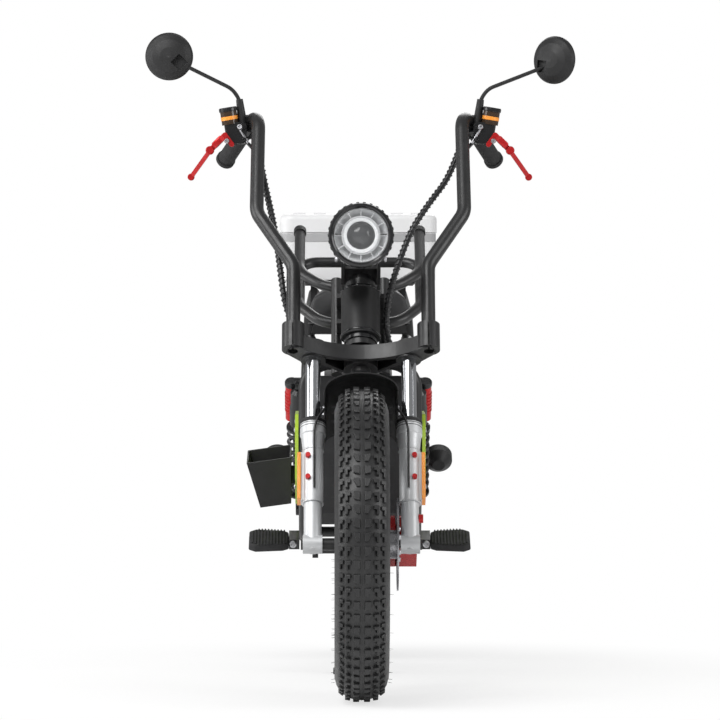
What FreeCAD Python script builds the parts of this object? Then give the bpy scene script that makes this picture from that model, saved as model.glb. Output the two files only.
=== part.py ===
import FreeCAD, Part
import Sketcher

import math
import os

from FreeCAD import Placement, Rotation, Vector

# Electric golf scooter, millimetres.
# The scooter faces -Y, its left side is +X and the ground is z = 0.
# The origin lies on the ground, midway between the axles.
# Steering pieces are drawn in the steering frame: z runs up the steering axis, y runs backwards
# across it, and the front axle is ahead of its origin by the fork offset.

doc = FreeCAD.newDocument("GolfScooter")

# Driving dimensions
SIZES = [
    ("wheelbase", 1290, "distance between the axles"),
    ("tyre_radius", 305, "over the tips of the lugs"),
    ("tyre_width", 106, "over the sidewalls"),
    ("lug_height", 8, "tread lug above the casing"),
    ("lug_count", 30, "rows of lugs round a tyre"),
    ("lug_run", 40, "lug along the direction of travel"),
    ("lug_wide", 13, "inner lug across the tread"),
    ("lug_groove", 4.5, "half of the centre groove"),
    ("rim_radius", 203, "bead seat"),
    ("rim_width", 78, "over the flanges"),
    ("rim_wall", 6, "thickness of the rim"),
    ("flange_high", 11, "rim flange above the bead seat"),
    ("spoke_count", 5, "cast spokes"),
    ("spoke_wide", 34, "spoke across"),
    ("spoke_thick", 26, "spoke along the axle"),
    ("hub_radius", 34, "front hub"),
    ("hub_width", 92, "front hub along the axle"),
    ("motor_radius", 112, "rear hub motor"),
    ("motor_width", 88, "rear hub motor along the axle"),
    ("axle_radius", 8, "both axles"),
    ("running_gap", 0.05, "radial clearance of a turning shaft"),
    ("seat_gap", 0.3, "clearance between curved faces of two bodies"),
    ("disc_radius", 90, "brake discs"),
    ("disc_thick", 3, "brake discs"),
    ("disc_place", 68.5, "inner face of a brake disc from the centre plane"),
    ("rake", 28, "steering axis from the vertical in degrees"),
    ("fork_offset", 40, "legs ahead of the steering axis"),
    ("leg_spread", 94.6, "fork leg from the centre plane"),
    ("stanchion_radius", 15, "chrome tube"),
    ("slider_radius", 20.5, "silver slider"),
    ("slider_foot_radius", 17.5, "lower end of the slider"),
    ("slider_cap_radius", 25.5, "collar on the slider"),
    ("slider_low", 86, "ring between foot and slider, up from the axle"),
    ("slider_high", 205, "foot of the bottle neck"),
    ("collar_low", 233, "lower edge of the collar"),
    ("slider_top", 262, "top of the slider"),
    ("bore_floor", 130, "end of the slider's bore, up from the axle"),
    ("lug_half", 19, "half of the axle lug along the axle"),
    ("crown_low", 402, "underside of the crown"),
    ("crown_high", 440, "top of the crown"),
    ("crown_bar_high", 464, "top of the handlebar sockets"),
    ("clamp_radius", 25, "fork clamp"),
    ("socket_radius", 22.5, "handlebar socket"),
    ("bow_radius", 177, "hollow of the crown's front"),
    ("bow_ahead", 43, "middle of the crown's front ahead of the steering axis"),
    ("bar_spread", 134, "handlebar socket from the centre plane"),
    ("bar_ahead", 75, "handlebar socket ahead of the steering axis"),
    ("bar_radius", 14, "handlebar tube"),
    ("stem_radius", 15, "steering stem"),
    ("stem_boss_radius", 34, "crown at the stem"),
    ("head_radius", 30, "head tube"),
    ("head_low", 450, "lower end of the head tube"),
    ("head_high", 597, "upper end of the head tube"),
    ("stem_top", 611.6, "upper end of the stem"),
    ("lamp_radius", 64, "headlight"),
    ("lamp_ahead", 195, "headlight face ahead of the steering axis"),
    ("lamp_height", 600.5, "headlight along the steering axis"),
    ("lamp_depth", 84, "headlight bowl"),
    ("fender_gap", 26, "fender above the tyre"),
    ("fender_thick", 3, "fender sheet"),
    ("fender_half_width", 73, "fender from the centre plane"),
    ("post_spread", 48, "carrier post from the centre plane"),
    ("post_radius", 11, "carrier post"),
    ("post_behind", 75, "carrier post behind the steering axis"),
    ("post_low", 432, "lower end of the post"),
    ("post_high", 650, "upper end of the post"),
    ("hoop_radius", 11, "hoop tube"),
    ("hoop_spread", 124, "hoop side from the centre plane"),
    ("hoop_rise", 33, "hoops climb to the rear in degrees"),
    ("hoop_reach", 212, "open hoop front to back along its slope"),
    ("ring_reach", 236, "closed ring front to back along its slope"),
    ("frame_radius", 13, "frame tube"),
    ("frame_spread", 112, "frame tube from the centre plane"),
    ("case_half_width", 87, "battery case"),
    ("case_behind", 98, "front face of the battery case behind the head tube's foot"),
    ("case_low", 329, "underside of the battery case"),
    ("case_high", 630, "top of the battery case"),
    ("panel_thick", 7, "coloured side panel"),
    ("seat_half_width", 113, "cushion"),
    ("seat_low", 738, "underside of the cushion"),
    ("seat_high", 820, "top of the cushion"),
    ("seat_length", 325, "cushion"),
    ("seat_ahead", 250, "rear of the cushion ahead of the rear axle"),
    ("rack_high", 838, "top of the rack"),
    ("cooler_width", 340, "cooler box"),
    ("cooler_depth", 250, "cooler box"),
    ("cooler_low", 838.3, "cooler underside"),
    ("cooler_tall", 104, "cooler body"),
    ("lid_thick", 40, "cooler lid without its ridges"),
    ("ridge_high", 4, "ridges on the lid"),
    ("cooler_ahead", 80, "cooler's middle ahead of the rear axle"),
    ("cooler_wall", 14, "cooler wall"),
    ("cooler_corner", 26, "round of the cooler's corners"),
    ("arm_spread", 90, "swingarm side from the centre plane"),
    ("arm_reach", 495, "swingarm pivot ahead of the rear axle"),
    ("arm_pivot_height", 330, "swingarm pivot"),
    ("shock_spread", 132, "rear shock from the centre plane"),
    ("peg_inner", 147, "inner end of a foot peg"),
    ("peg_outer", 231, "outer end of a foot peg"),
    ("peg_height", 290, "foot peg"),
    ("peg_place", -40, "foot peg"),
    ("stand_pivot_place", 60, "centre stand pivot"),
    ("stand_pivot_height", 262, "centre stand pivot"),
    ("stand_spread", 36, "stand leg from the centre plane"),
    ("mirror_radius", 49, "mirror head"),
    ("mirror_reach", 439.5, "outer edge of both mirrors from the centre plane"),
    ("fore", "=-wheelbase / 2 + fork_offset * cos(rake * 1deg) + head_low * sin(rake * 1deg)", "head tube's foot"),
    ("aft", "=wheelbase / 2", "rear axle"),
]

sheet = doc.addObject("Spreadsheet::Sheet", "Dims")
for row, (alias, value, note) in enumerate(SIZES, 1):
    sheet.set(f"A{row}", note)
    sheet.set(f"B{row}", str(value))
    sheet.setAlias(f"B{row}", alias)
doc.recompute()


def size(alias):
    return float(sheet.get(alias))


RAKE = math.radians(size("rake"))
UP = Vector(0, math.sin(RAKE), math.cos(RAKE))
BACK = Vector(0, math.cos(RAKE), -math.sin(RAKE))
FRONT_AXLE = Vector(0, -size("wheelbase") / 2, size("tyre_radius"))
REAR_AXLE = Vector(0, size("wheelbase") / 2, size("tyre_radius"))
STEER_BASE = FRONT_AXLE + BACK * size("fork_offset")
STEER = Placement(STEER_BASE, Rotation(Vector(1, 0, 0), -size("rake")))
ALONG_X = Rotation(Vector(0, 1, 0), 90)
ALONG_FRONT = Rotation(Vector(1, 0, 0), 90)
SUBPARTS = []


def keep(item, label, placement=None):
    """Give a finished object its name and place, and list it for writing."""
    item.Label = label
    if placement is not None:
        item.Placement = placement
    SUBPARTS.append(item)
    return item


def cylinder(name, radius, height, base=(0, 0, 0), turn=Rotation()):
    item = doc.addObject("Part::Cylinder", name)
    item.setExpression("Radius", radius)
    item.setExpression("Height", height)
    item.Placement = Placement(Vector(*base), turn)
    return item


def box(name, length, width, height, base=(0, 0, 0), turn=Rotation()):
    item = doc.addObject("Part::Box", name)
    item.setExpression("Length", length)
    item.setExpression("Width", width)
    item.setExpression("Height", height)
    item.Placement = Placement(Vector(*base), turn)
    return item


def fuse(name, items):
    item = doc.addObject("Part::MultiFuse", name)
    item.Shapes = items
    item.Refine = True
    return item


def gather(name, items):
    item = doc.addObject("Part::Compound", name)
    item.Links = items
    return item


def cut(name, base, tool):
    item = doc.addObject("Part::Cut", name)
    item.Base = base
    item.Tool = tool
    return item


def origin_plane(body, role):
    return next(f for f in body.Origin.OriginFeatures if f.Role == role)


def sketch_on(body, name, role, offset=None):
    sketch = body.newObject("Sketcher::SketchObject", name)
    sketch.AttachmentSupport = (origin_plane(body, role), [""])
    sketch.MapMode = "FlatFace"
    if offset is not None:
        sketch.AttachmentOffset = offset
    return sketch


def outline(sketch, points):
    """Close a loop of lines through points whose coordinates are expressions of the sheet."""
    flat = [Vector(sheet.evalExpression(x), sheet.evalExpression(y), 0) for x, y in points]
    first = sketch.GeometryCount
    count = len(points)
    for k in range(count):
        sketch.addGeometry(Part.LineSegment(flat[k], flat[(k + 1) % count]), False)
    for k in range(count):
        following = first + (k + 1) % count
        sketch.addConstraint(Sketcher.Constraint("Coincident", first + k, 2, following, 1))
    for k, (x, y) in enumerate(points):
        for kind, text, value in (("DistanceX", x, flat[k].x), ("DistanceY", y, flat[k].y)):
            number = sketch.addConstraint(
                Sketcher.Constraint(kind, -1, 1, first + k, 1, value)
            )
            sketch.setExpression(f"Constraints[{number}]", text)


def turned(label, points, axis_role, role="XY_Plane"):
    """A body turned from a closed outline."""
    body = doc.addObject("PartDesign::Body", label)
    sketch = sketch_on(body, label + "_profile", role)
    outline(sketch, points)
    turn = body.newObject("PartDesign::Revolution", label + "_turned")
    turn.Profile = sketch
    turn.ReferenceAxis = (origin_plane(body, axis_role), [""])
    turn.Angle = 360
    body.Tip = turn
    return body


def padded(label, points, length, role="XY_Plane", offset=None, midplane=False):
    """A body padded from a closed outline."""
    body = doc.addObject("PartDesign::Body", label)
    sketch = sketch_on(body, label + "_profile", role, offset)
    outline(sketch, points)
    pad = body.newObject("PartDesign::Pad", label + "_pad")
    pad.Profile = sketch
    pad.Midplane = midplane
    pad.setExpression("Length", length)
    body.Tip = pad
    return body


def rod(points, radius, share=0.45, bend=None):
    """A round bar along straight runs joined by tangent arcs."""
    edges = []
    start = points[0]
    for k in range(1, len(points) - 1):
        here = points[k]
        before = (points[k - 1] - here).normalize()
        after = (points[k + 1] - here).normalize()
        half = before.getAngle(after) / 2
        reach = share * min((points[k - 1] - here).Length, (points[k + 1] - here).Length)
        if bend is not None:
            reach = min(reach, bend / math.tan(half))
        middle_way = (before + after).normalize()
        depth = reach / math.cos(half)
        arc_radius = reach * math.tan(half)
        into = here + before * reach
        out = here + after * reach
        middle = here + middle_way * (depth - arc_radius)
        edges.append(Part.LineSegment(start, into).toShape())
        edges.append(Part.Arc(into, middle, out).toShape())
        start = out
    edges.append(Part.LineSegment(start, points[-1]).toShape())
    path = Part.Wire(edges)
    ring = Part.Wire(Part.Circle(points[0], points[1] - points[0], radius).toShape())
    return path.makePipeShell([ring], True, False)


def feature(name, shape):
    item = doc.addObject("Part::Feature", name)
    item.Shape = shape
    return item


def mirrored(points):
    return [Vector(-p.x, p.y, p.z) for p in points]


def from_steer(across, behind, high):
    """A place in the steering frame, given in the scooter's own frame."""
    return STEER.multVec(Vector(across, behind, high))


FORE = size("fore")
AFT = size("aft")

# Tyres: a casing turned round the axle with rows of lugs
CASING = "(Dims.tyre_radius - Dims.lug_height)"
HALF = "(Dims.tyre_width / 2)"


# Rows of lugs on each side: name, place of the foot across the tread, width, depth of the foot, lean
LUG_ROWS = (
    ("inner", size("lug_groove"), "Dims.lug_wide", 5, 0),
    ("middle", size("lug_groove") + 12, "Dims.lug_wide * 0.8", 13, 12),
    ("shoulder", size("lug_groove") + 16, "Dims.lug_wide * 0.75", 17, 38),
)


def tyre(label, centre):
    body = turned(
        label,
        [
            ("-Dims.rim_width / 2 + Dims.rim_wall", "Dims.rim_radius"),
            ("-Dims.rim_width / 2 + Dims.rim_wall", "Dims.rim_radius + Dims.flange_high + 3"),
            (f"-{HALF} * 0.94", f"{CASING} - 74"),
            (f"-{HALF}", f"{CASING} - 56"),
            (f"-{HALF} * 0.88", f"{CASING} - 24"),
            (f"-{HALF} * 0.58", f"{CASING} - 5"),
            (f"-{HALF} * 0.3", CASING),
            (f"{HALF} * 0.3", CASING),
            (f"{HALF} * 0.58", f"{CASING} - 5"),
            (f"{HALF} * 0.88", f"{CASING} - 24"),
            (HALF, f"{CASING} - 56"),
            (f"{HALF} * 0.94", f"{CASING} - 74"),
            ("Dims.rim_width / 2 - Dims.rim_wall", "Dims.rim_radius + Dims.flange_high + 3"),
            ("Dims.rim_width / 2 - Dims.rim_wall", "Dims.rim_radius"),
        ],
        "X_Axis",
    )
    originals = []
    for side in (-1, 1):
        for name, start, wide, sunk, tilt in LUG_ROWS:
            row = f"{label}_{name}_{'right' if side < 0 else 'left'}"
            foot = size("tyre_radius") - size("lug_height") - sunk
            across = side * start
            turn = Rotation(Vector(0, 1, 0), side * tilt)
            offset = Placement(Vector(across, 0, foot), turn)
            sketch = sketch_on(body, row + "_plan", "XY_Plane", offset)
            near = "0" if side > 0 else f"-({wide})"
            far = wide if side > 0 else "0"
            wider, narrower = ("0.5", "0.42") if side > 0 else ("0.42", "0.5")
            outline(
                sketch,
                [
                    (near, f"-Dims.lug_run * {wider}"),
                    (far, f"-Dims.lug_run * {narrower}"),
                    (far, f"Dims.lug_run * {narrower}"),
                    (near, f"Dims.lug_run * {wider}"),
                ],
            )
            pad = body.newObject("PartDesign::Pad", row)
            pad.Profile = sketch
            pad.setExpression("Length", f"Dims.lug_height + {sunk * 0.85:.2f}")
            originals.append(pad)
    pattern = body.newObject("PartDesign::PolarPattern", label + "_lugs")
    pattern.Originals = originals
    pattern.Axis = (origin_plane(body, "X_Axis"), [""])
    pattern.Angle = 360
    pattern.setExpression("Occurrences", "Dims.lug_count")
    body.Tip = pattern
    doc.recompute()
    return keep(body, label, Placement(centre, Rotation()))


tyre("front_tyre", FRONT_AXLE)
tyre("rear_tyre", REAR_AXLE)


# Wheels: a cast rim with spokes and hub, and the rear one round its motor
def wheel(label, centre, hub_radius, hub_width):
    half = "Dims.rim_width / 2"
    body = turned(
        label,
        [
            (f"-{half}", "Dims.rim_radius - 16"),
            (f"-{half}", "Dims.rim_radius + Dims.flange_high"),
            (f"-{half} + Dims.rim_wall - Dims.seat_gap", "Dims.rim_radius + Dims.flange_high"),
            (f"-{half} + Dims.rim_wall - Dims.seat_gap", "Dims.rim_radius - Dims.seat_gap"),
            (f"{half} - Dims.rim_wall + Dims.seat_gap", "Dims.rim_radius - Dims.seat_gap"),
            (f"{half} - Dims.rim_wall + Dims.seat_gap", "Dims.rim_radius + Dims.flange_high"),
            (half, "Dims.rim_radius + Dims.flange_high"),
            (half, "Dims.rim_radius - 16"),
            (f"{half} - 22", "Dims.rim_radius - 22"),
            (f"-{half} + 22", "Dims.rim_radius - 22"),
        ],
        "X_Axis",
    )
    spoke_sketch = sketch_on(body, label + "_spoke_plan", "YZ_Plane")
    outline(
        spoke_sketch,
        [
            ("-Dims.spoke_wide * 0.75", f"{hub_radius} - 6"),
            ("-Dims.spoke_wide / 2", "Dims.rim_radius - 20"),
            ("Dims.spoke_wide / 2", "Dims.rim_radius - 20"),
            ("Dims.spoke_wide * 0.75", f"{hub_radius} - 6"),
        ],
    )
    spoke = body.newObject("PartDesign::Pad", label + "_spoke")
    spoke.Profile = spoke_sketch
    spoke.Midplane = True
    spoke.setExpression("Length", "Dims.spoke_thick")
    pattern = body.newObject("PartDesign::PolarPattern", label + "_spokes")
    pattern.Originals = [spoke]
    pattern.Axis = (origin_plane(body, "X_Axis"), [""])
    pattern.Angle = 360
    pattern.setExpression("Occurrences", "Dims.spoke_count")
    body.Tip = pattern
    hub_sketch = sketch_on(body, label + "_hub_profile", "XY_Plane")
    bore = "Dims.axle_radius + Dims.running_gap"
    outline(
        hub_sketch,
        [
            (f"-{hub_width} / 2", bore),
            (f"-{hub_width} / 2", f"{hub_radius} - 8"),
            (f"-{hub_width} / 2 + 8", hub_radius),
            (f"{hub_width} / 2 - 8", hub_radius),
            (f"{hub_width} / 2", f"{hub_radius} - 8"),
            (f"{hub_width} / 2", bore),
        ],
    )
    hub = body.newObject("PartDesign::Revolution", label + "_hub")
    hub.Profile = hub_sketch
    hub.ReferenceAxis = (origin_plane(body, "X_Axis"), [""])
    hub.Angle = 360
    body.Tip = hub
    return keep(body, label, Placement(centre, Rotation()))


wheel("front_wheel", FRONT_AXLE, "Dims.hub_radius", "Dims.hub_width")
wheel("rear_wheel", REAR_AXLE, "Dims.motor_radius", "Dims.motor_width")


# Brake discs: a ring on a carrier that bolts to the hub
def brake_disc(label, centre, hub_face):
    outer = cylinder(label + "_blank", "Dims.disc_radius", "Dims.disc_thick", turn=ALONG_X)
    outer.setExpression("Placement.Base.x", "Dims.disc_place")
    count = 12
    holes = []
    for k in range(count):
        angle = 2 * math.pi * k / count
        for radius, hole in ((76, 5), (50, 9)):
            place = (0, radius * math.cos(angle), radius * math.sin(angle))
            item = cylinder(f"{label}_hole_{k}_{radius}", str(hole), "Dims.disc_thick * 3", place, ALONG_X)
            item.setExpression("Placement.Base.x", "Dims.disc_place - Dims.disc_thick")
            holes.append(item)
    bore = cylinder(label + "_bore", "Dims.axle_radius + 4", "Dims.disc_thick * 3", turn=ALONG_X)
    bore.setExpression("Placement.Base.x", "Dims.disc_place - Dims.disc_thick")
    ring = cut(label + "_ring", outer, fuse(label + "_holes", holes + [bore]))
    carrier = cylinder(label + "_carrier", "28", f"Dims.disc_place - {hub_face}", turn=ALONG_X)
    carrier.setExpression("Placement.Base.x", hub_face)
    middle = cylinder(label + "_middle", "Dims.axle_radius + 4", "Dims.disc_place", turn=ALONG_X)
    spacer = cut(label + "_spacer", carrier, middle)
    whole = fuse(label + "_whole", [ring, spacer])
    return keep(whole, label, Placement(centre, Rotation()))


brake_disc("front_disc", FRONT_AXLE, "Dims.hub_width / 2")
brake_disc("rear_disc", REAR_AXLE, "Dims.motor_width / 2")


# Fork legs, in the steering frame
def fork_sliders():
    sides = []
    for side, word in ((-1, "right"), (1, "left")):
        across = f"Dims.leg_spread * {side}"
        shank = turned(
            f"shank_{word}",
            [
                ("0", "-Dims.slider_foot_radius + 2"),
                ("Dims.slider_foot_radius - 5", "-Dims.slider_foot_radius + 2"),
                ("Dims.slider_foot_radius", "0"),
                ("Dims.slider_foot_radius", "Dims.slider_low"),
                ("Dims.slider_radius", "Dims.slider_low"),
                ("Dims.slider_radius", "Dims.slider_high"),
                ("Dims.slider_cap_radius - 2", "Dims.collar_low"),
                ("Dims.slider_cap_radius", "Dims.collar_low + 2"),
                ("Dims.slider_cap_radius", "Dims.slider_top - 2"),
                ("Dims.slider_cap_radius - 2", "Dims.slider_top"),
                ("Dims.stanchion_radius", "Dims.slider_top"),
                ("Dims.stanchion_radius", "Dims.bore_floor"),
                ("0", "Dims.bore_floor"),
            ],
            "Z_Axis",
            "XZ_Plane",
        )
        lug = cylinder(f"axle_lug_{word}", "Dims.slider_foot_radius + 1", "Dims.lug_half * 2", turn=ALONG_X)
        pad = box(f"pad_{word}", "8", "22", "104")
        pad.setExpression("Placement.Base.x", f"{across} + {side} * 19.5 - 4")
        pad.setExpression("Placement.Base.y", "-Dims.fork_offset - 11")
        pad.setExpression("Placement.Base.z", "Dims.slider_low + 4")
        shank.setExpression("Placement.Base.x", across)
        shank.setExpression("Placement.Base.y", "-Dims.fork_offset")
        lug.setExpression("Placement.Base.x", f"{across} - Dims.lug_half")
        lug.setExpression("Placement.Base.y", "-Dims.fork_offset")
        solid = fuse(f"slider_{word}_solid", [shank, lug, pad])
        hole = cylinder(f"axle_hole_{word}", "Dims.axle_radius", "80", turn=ALONG_X)
        hole.setExpression("Placement.Base.x", f"{across} - 40")
        hole.setExpression("Placement.Base.y", "-Dims.fork_offset")
        sides.append(cut(f"slider_{word}", solid, hole))
    return keep(gather("sliders", sides), "fork_sliders", STEER)


def stanchions():
    tubes = []
    for side, word in ((-1, "right"), (1, "left")):
        tube = cylinder(f"stanchion_{word}", "Dims.stanchion_radius", "Dims.crown_high + 4 - Dims.bore_floor")
        tube.setExpression("Placement.Base.x", f"Dims.leg_spread * {side}")
        tube.setExpression("Placement.Base.y", "-Dims.fork_offset")
        tube.setExpression("Placement.Base.z", "Dims.bore_floor")
        tubes.append(tube)
    return keep(gather("stanchion_pair", tubes), "fork_stanchions", STEER)


def front_axle():
    axle = cylinder("front_spindle", "Dims.axle_radius", "Dims.leg_spread * 2 + Dims.lug_half * 2", turn=ALONG_X)
    axle.setExpression("Placement.Base.x", "-Dims.leg_spread - Dims.lug_half")
    pieces = [axle]
    inner = "Dims.leg_spread + Dims.lug_half"
    for side, word in ((-1, "right"), (1, "left")):
        cap = cylinder(f"spindle_cap_{word}", "11", "4", turn=ALONG_X)
        cap.setExpression("Placement.Base.x", inner if side > 0 else f"-({inner}) - 4")
        pieces.append(cap)
    gap = "Dims.hub_width / 2 + Dims.seat_gap"
    sleeve = cylinder("spindle_sleeve", "12", f"Dims.leg_spread - Dims.lug_half - ({gap})", turn=ALONG_X)
    sleeve.setExpression("Placement.Base.x", "-Dims.leg_spread + Dims.lug_half")
    pieces.append(sleeve)
    for item in pieces:
        item.setExpression("Placement.Base.y", "-Dims.fork_offset")
    return keep(fuse("front_spindle_whole", pieces), "front_axle", STEER)


def crown():
    """Lower clamp: fork clamps and raised handlebar sockets joined by a bow to the stem."""
    plate = padded(
        "crown_plate",
        [
            ("-Dims.bar_spread - 4", "-Dims.bar_ahead - 16"),
            ("Dims.bar_spread + 4", "-Dims.bar_ahead - 16"),
            ("Dims.bar_spread + 14", "-Dims.bar_ahead + 10"),
            ("Dims.leg_spread + 20", "-Dims.fork_offset + 14"),
            ("Dims.leg_spread - 20", "-Dims.fork_offset + 24"),
            ("20", "Dims.stem_boss_radius - 6"),
            ("-20", "Dims.stem_boss_radius - 6"),
            ("-Dims.leg_spread + 20", "-Dims.fork_offset + 24"),
            ("-Dims.leg_spread - 20", "-Dims.fork_offset + 14"),
            ("-Dims.bar_spread - 14", "-Dims.bar_ahead + 10"),
        ],
        "Dims.crown_high - Dims.crown_low - 6",
    )
    plate.setExpression("Placement.Base.z", "Dims.crown_low + 3")
    bow = cylinder("crown_bow", "Dims.bow_radius", "200")
    bow.setExpression("Placement.Base.y", "-Dims.bow_ahead - Dims.bow_radius")
    bow.setExpression("Placement.Base.z", "Dims.crown_low - 10")
    recess = padded(
        "crown_recess",
        [
            ("-Dims.leg_spread + 14", "-Dims.bow_ahead - 3"),
            ("0", "-Dims.bow_ahead + 14"),
            ("Dims.leg_spread - 14", "-Dims.bow_ahead - 3"),
            ("Dims.leg_spread - 26", "-Dims.fork_offset + 16"),
            ("20", "Dims.stem_boss_radius - 14"),
            ("-20", "Dims.stem_boss_radius - 14"),
            ("-Dims.leg_spread + 26", "-Dims.fork_offset + 16"),
        ],
        "24",
    )
    recess.setExpression("Placement.Base.z", "Dims.crown_low - 2")
    hollowed = cut("crown_hollowed", plate, gather("crown_hollows", [bow, recess]))
    boss = cylinder("stem_boss", "Dims.stem_boss_radius", "Dims.crown_high - Dims.crown_low")
    boss.setExpression("Placement.Base.z", "Dims.crown_low")
    solids = [hollowed, boss]
    holes = []
    for side, word in ((-1, "right"), (1, "left")):
        clamp = cylinder(f"fork_clamp_{word}", "Dims.clamp_radius", "Dims.crown_high - Dims.crown_low")
        socket = cylinder(
            f"bar_socket_{word}", "Dims.socket_radius", "Dims.crown_bar_high - Dims.crown_low - 6"
        )
        clamp_hole = cylinder(f"clamp_hole_{word}", "Dims.stanchion_radius", "200")
        socket_hole = cylinder(f"socket_hole_{word}", "Dims.bar_radius", "200")
        lip = cylinder(f"socket_lip_{word}", "Dims.bar_radius - 4", "200")
        for item, across, behind, high in (
            (clamp, "Dims.leg_spread", "-Dims.fork_offset", "Dims.crown_low"),
            (clamp_hole, "Dims.leg_spread", "-Dims.fork_offset", "Dims.crown_low - 10"),
            (socket, "Dims.bar_spread", "-Dims.bar_ahead", "Dims.crown_low + 6"),
            (socket_hole, "Dims.bar_spread", "-Dims.bar_ahead", "Dims.crown_low + 12"),
            (lip, "Dims.bar_spread", "-Dims.bar_ahead", "Dims.crown_low - 10"),
        ):
            item.setExpression("Placement.Base.x", f"{across} * {side}")
            item.setExpression("Placement.Base.y", behind)
            item.setExpression("Placement.Base.z", high)
        slit = box(f"socket_slit_{word}", "4", "60", "200")
        slit.setExpression("Placement.Base.x", f"Dims.bar_spread * {side} - 2")
        slit.setExpression("Placement.Base.y", "-Dims.bar_ahead - 60")
        slit.setExpression("Placement.Base.z", "Dims.crown_low - 10")
        solids += [clamp, socket]
        holes += [clamp_hole, socket_hole, lip, slit]
    stem_hole = cylinder("stem_hole", "Dims.stem_radius", "200")
    stem_hole.setExpression("Placement.Base.z", "Dims.crown_low - 10")
    holes.append(stem_hole)
    return keep(cut("crown_cut", fuse("crown_solid", solids), gather("crown_holes", holes)), "crown", STEER)


def stem():
    shaft = cylinder("stem_shaft", "Dims.stem_radius", "Dims.stem_top - Dims.crown_low - 2")
    shaft.setExpression("Placement.Base.z", "Dims.crown_low + 2")
    nut = cylinder("stem_nut", "20", "10")
    nut.setExpression("Placement.Base.z", "Dims.crown_low - 10")
    core = cylinder("stem_core", "Dims.stem_radius - 3", "20")
    core.setExpression("Placement.Base.z", "Dims.crown_low - 10")
    top = cylinder("stem_top_nut", "24", "14")
    top.setExpression("Placement.Base.z", "Dims.head_high + Dims.seat_gap * 2")
    return keep(fuse("stem_whole", [shaft, nut, core, top]), "steering_stem", STEER)


fork_sliders()
stanchions()
front_axle()
crown()
stem()


# Handlebar: two bent risers clamped in the crown
BAR_PLACES = {
    "foot": Vector(size("bar_spread"), -size("bar_ahead"), size("crown_low") + 12),
    "first": Vector(size("bar_spread"), -size("bar_ahead"), 600),
    "second": Vector(209, -size("bar_ahead"), 722),
    "turn": Vector(207, -64, 969),
    "grip": Vector(277, 113, 960),
}


def bar_points(side):
    return [Vector(p.x * side, p.y, p.z) for p in BAR_PLACES.values()]


BAR_TUBES = Part.makeCompound([rod(bar_points(side), size("bar_radius"), bend=48) for side in (-1, 1)])
keep(feature("riser_tubes", BAR_TUBES), "handlebar", STEER)

GRIP_START = BAR_PLACES["turn"]
GRIP_END = BAR_PLACES["grip"]
GRIP_WAY = (GRIP_END - GRIP_START).normalize()


def grips():
    pieces = []
    for side in (-1, 1):
        way = Vector(GRIP_WAY.x * side, GRIP_WAY.y, GRIP_WAY.z)
        end = Vector(GRIP_END.x * side, GRIP_END.y, GRIP_END.z)
        start = end - way * 118
        sleeve = Part.makeCylinder(17.5, 118, start, way)
        cap = Part.makeCylinder(20, 8, end, way)
        flange = Part.makeCylinder(23, 5, start, way)
        bore = Part.makeCylinder(size("bar_radius"), 118, start, way)
        pieces.append(sleeve.fuse([cap, flange]).cut(bore).removeSplitter())
    return keep(feature("grip_pair", Part.makeCompound(pieces)), "grips", STEER)


grips()


# Headlight, in the steering frame but level with the ground
LAMP_TURN = Rotation(Vector(1, 0, 0), size("rake"))


def lamp_place():
    return Placement(Vector(0, -size("lamp_ahead"), size("lamp_height")), LAMP_TURN)


def headlight():
    shell = turned(
        "lamp_bowl",
        [
            ("Dims.lamp_radius - 10", "-4"),
            ("Dims.lamp_radius - 3", "-8"),
            ("Dims.lamp_radius", "-4"),
            ("Dims.lamp_radius", "14"),
            ("Dims.lamp_radius - 6", "22"),
            ("Dims.lamp_radius - 14", "Dims.lamp_depth * 0.6"),
            ("Dims.lamp_radius * 0.45", "Dims.lamp_depth"),
            ("0", "Dims.lamp_depth"),
            ("0", "Dims.lamp_depth - 6"),
            ("Dims.lamp_radius * 0.4", "Dims.lamp_depth - 6"),
            ("Dims.lamp_radius - 20", "Dims.lamp_depth * 0.6"),
            ("Dims.lamp_radius - 10", "16"),
        ],
        "Y_Axis",
    )
    return keep(shell, "headlight_shell", STEER.multiply(lamp_place()))


def headlight_inside():
    optic = turned(
        "lamp_optic",
        [
            ("0", "10"),
            ("25", "10"),
            ("25", "14"),
            ("34", "20"),
            ("Dims.lamp_radius - 12", "12"),
            ("Dims.lamp_radius - 12", "16"),
            ("Dims.lamp_radius - 20", "34"),
            ("22", "42"),
            ("22", "Dims.lamp_depth - 6 - Dims.seat_gap"),
            ("0", "Dims.lamp_depth - 6 - Dims.seat_gap"),
        ],
        "Y_Axis",
    )
    keep(optic, "headlight_optic", STEER.multiply(lamp_place()))
    lens = turned(
        "lamp_glass",
        [
            ("0", "-14"),
            ("24", "-12"),
            ("42", "-7"),
            ("Dims.lamp_radius - 10 - Dims.seat_gap", "-1"),
            ("Dims.lamp_radius - 10 - Dims.seat_gap", "3"),
            ("42", "-3"),
            ("24", "-8"),
            ("0", "-10"),
        ],
        "Y_Axis",
    )
    keep(lens, "headlight_lens", STEER.multiply(lamp_place()))


headlight()
headlight_inside()

LAMP_CENTRE = from_steer(0, -size("lamp_ahead"), size("lamp_height"))


def arm_plate(outline_points, thick, x_low):
    """A plate in the scooter's side view: points are (y, z) in the scooter's frame."""
    corners = [Vector(x_low, y, z) for y, z in outline_points]
    face = Part.Face(Part.makePolygon(corners + corners[:1]))
    return face.extrude(Vector(thick, 0, 0))


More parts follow.
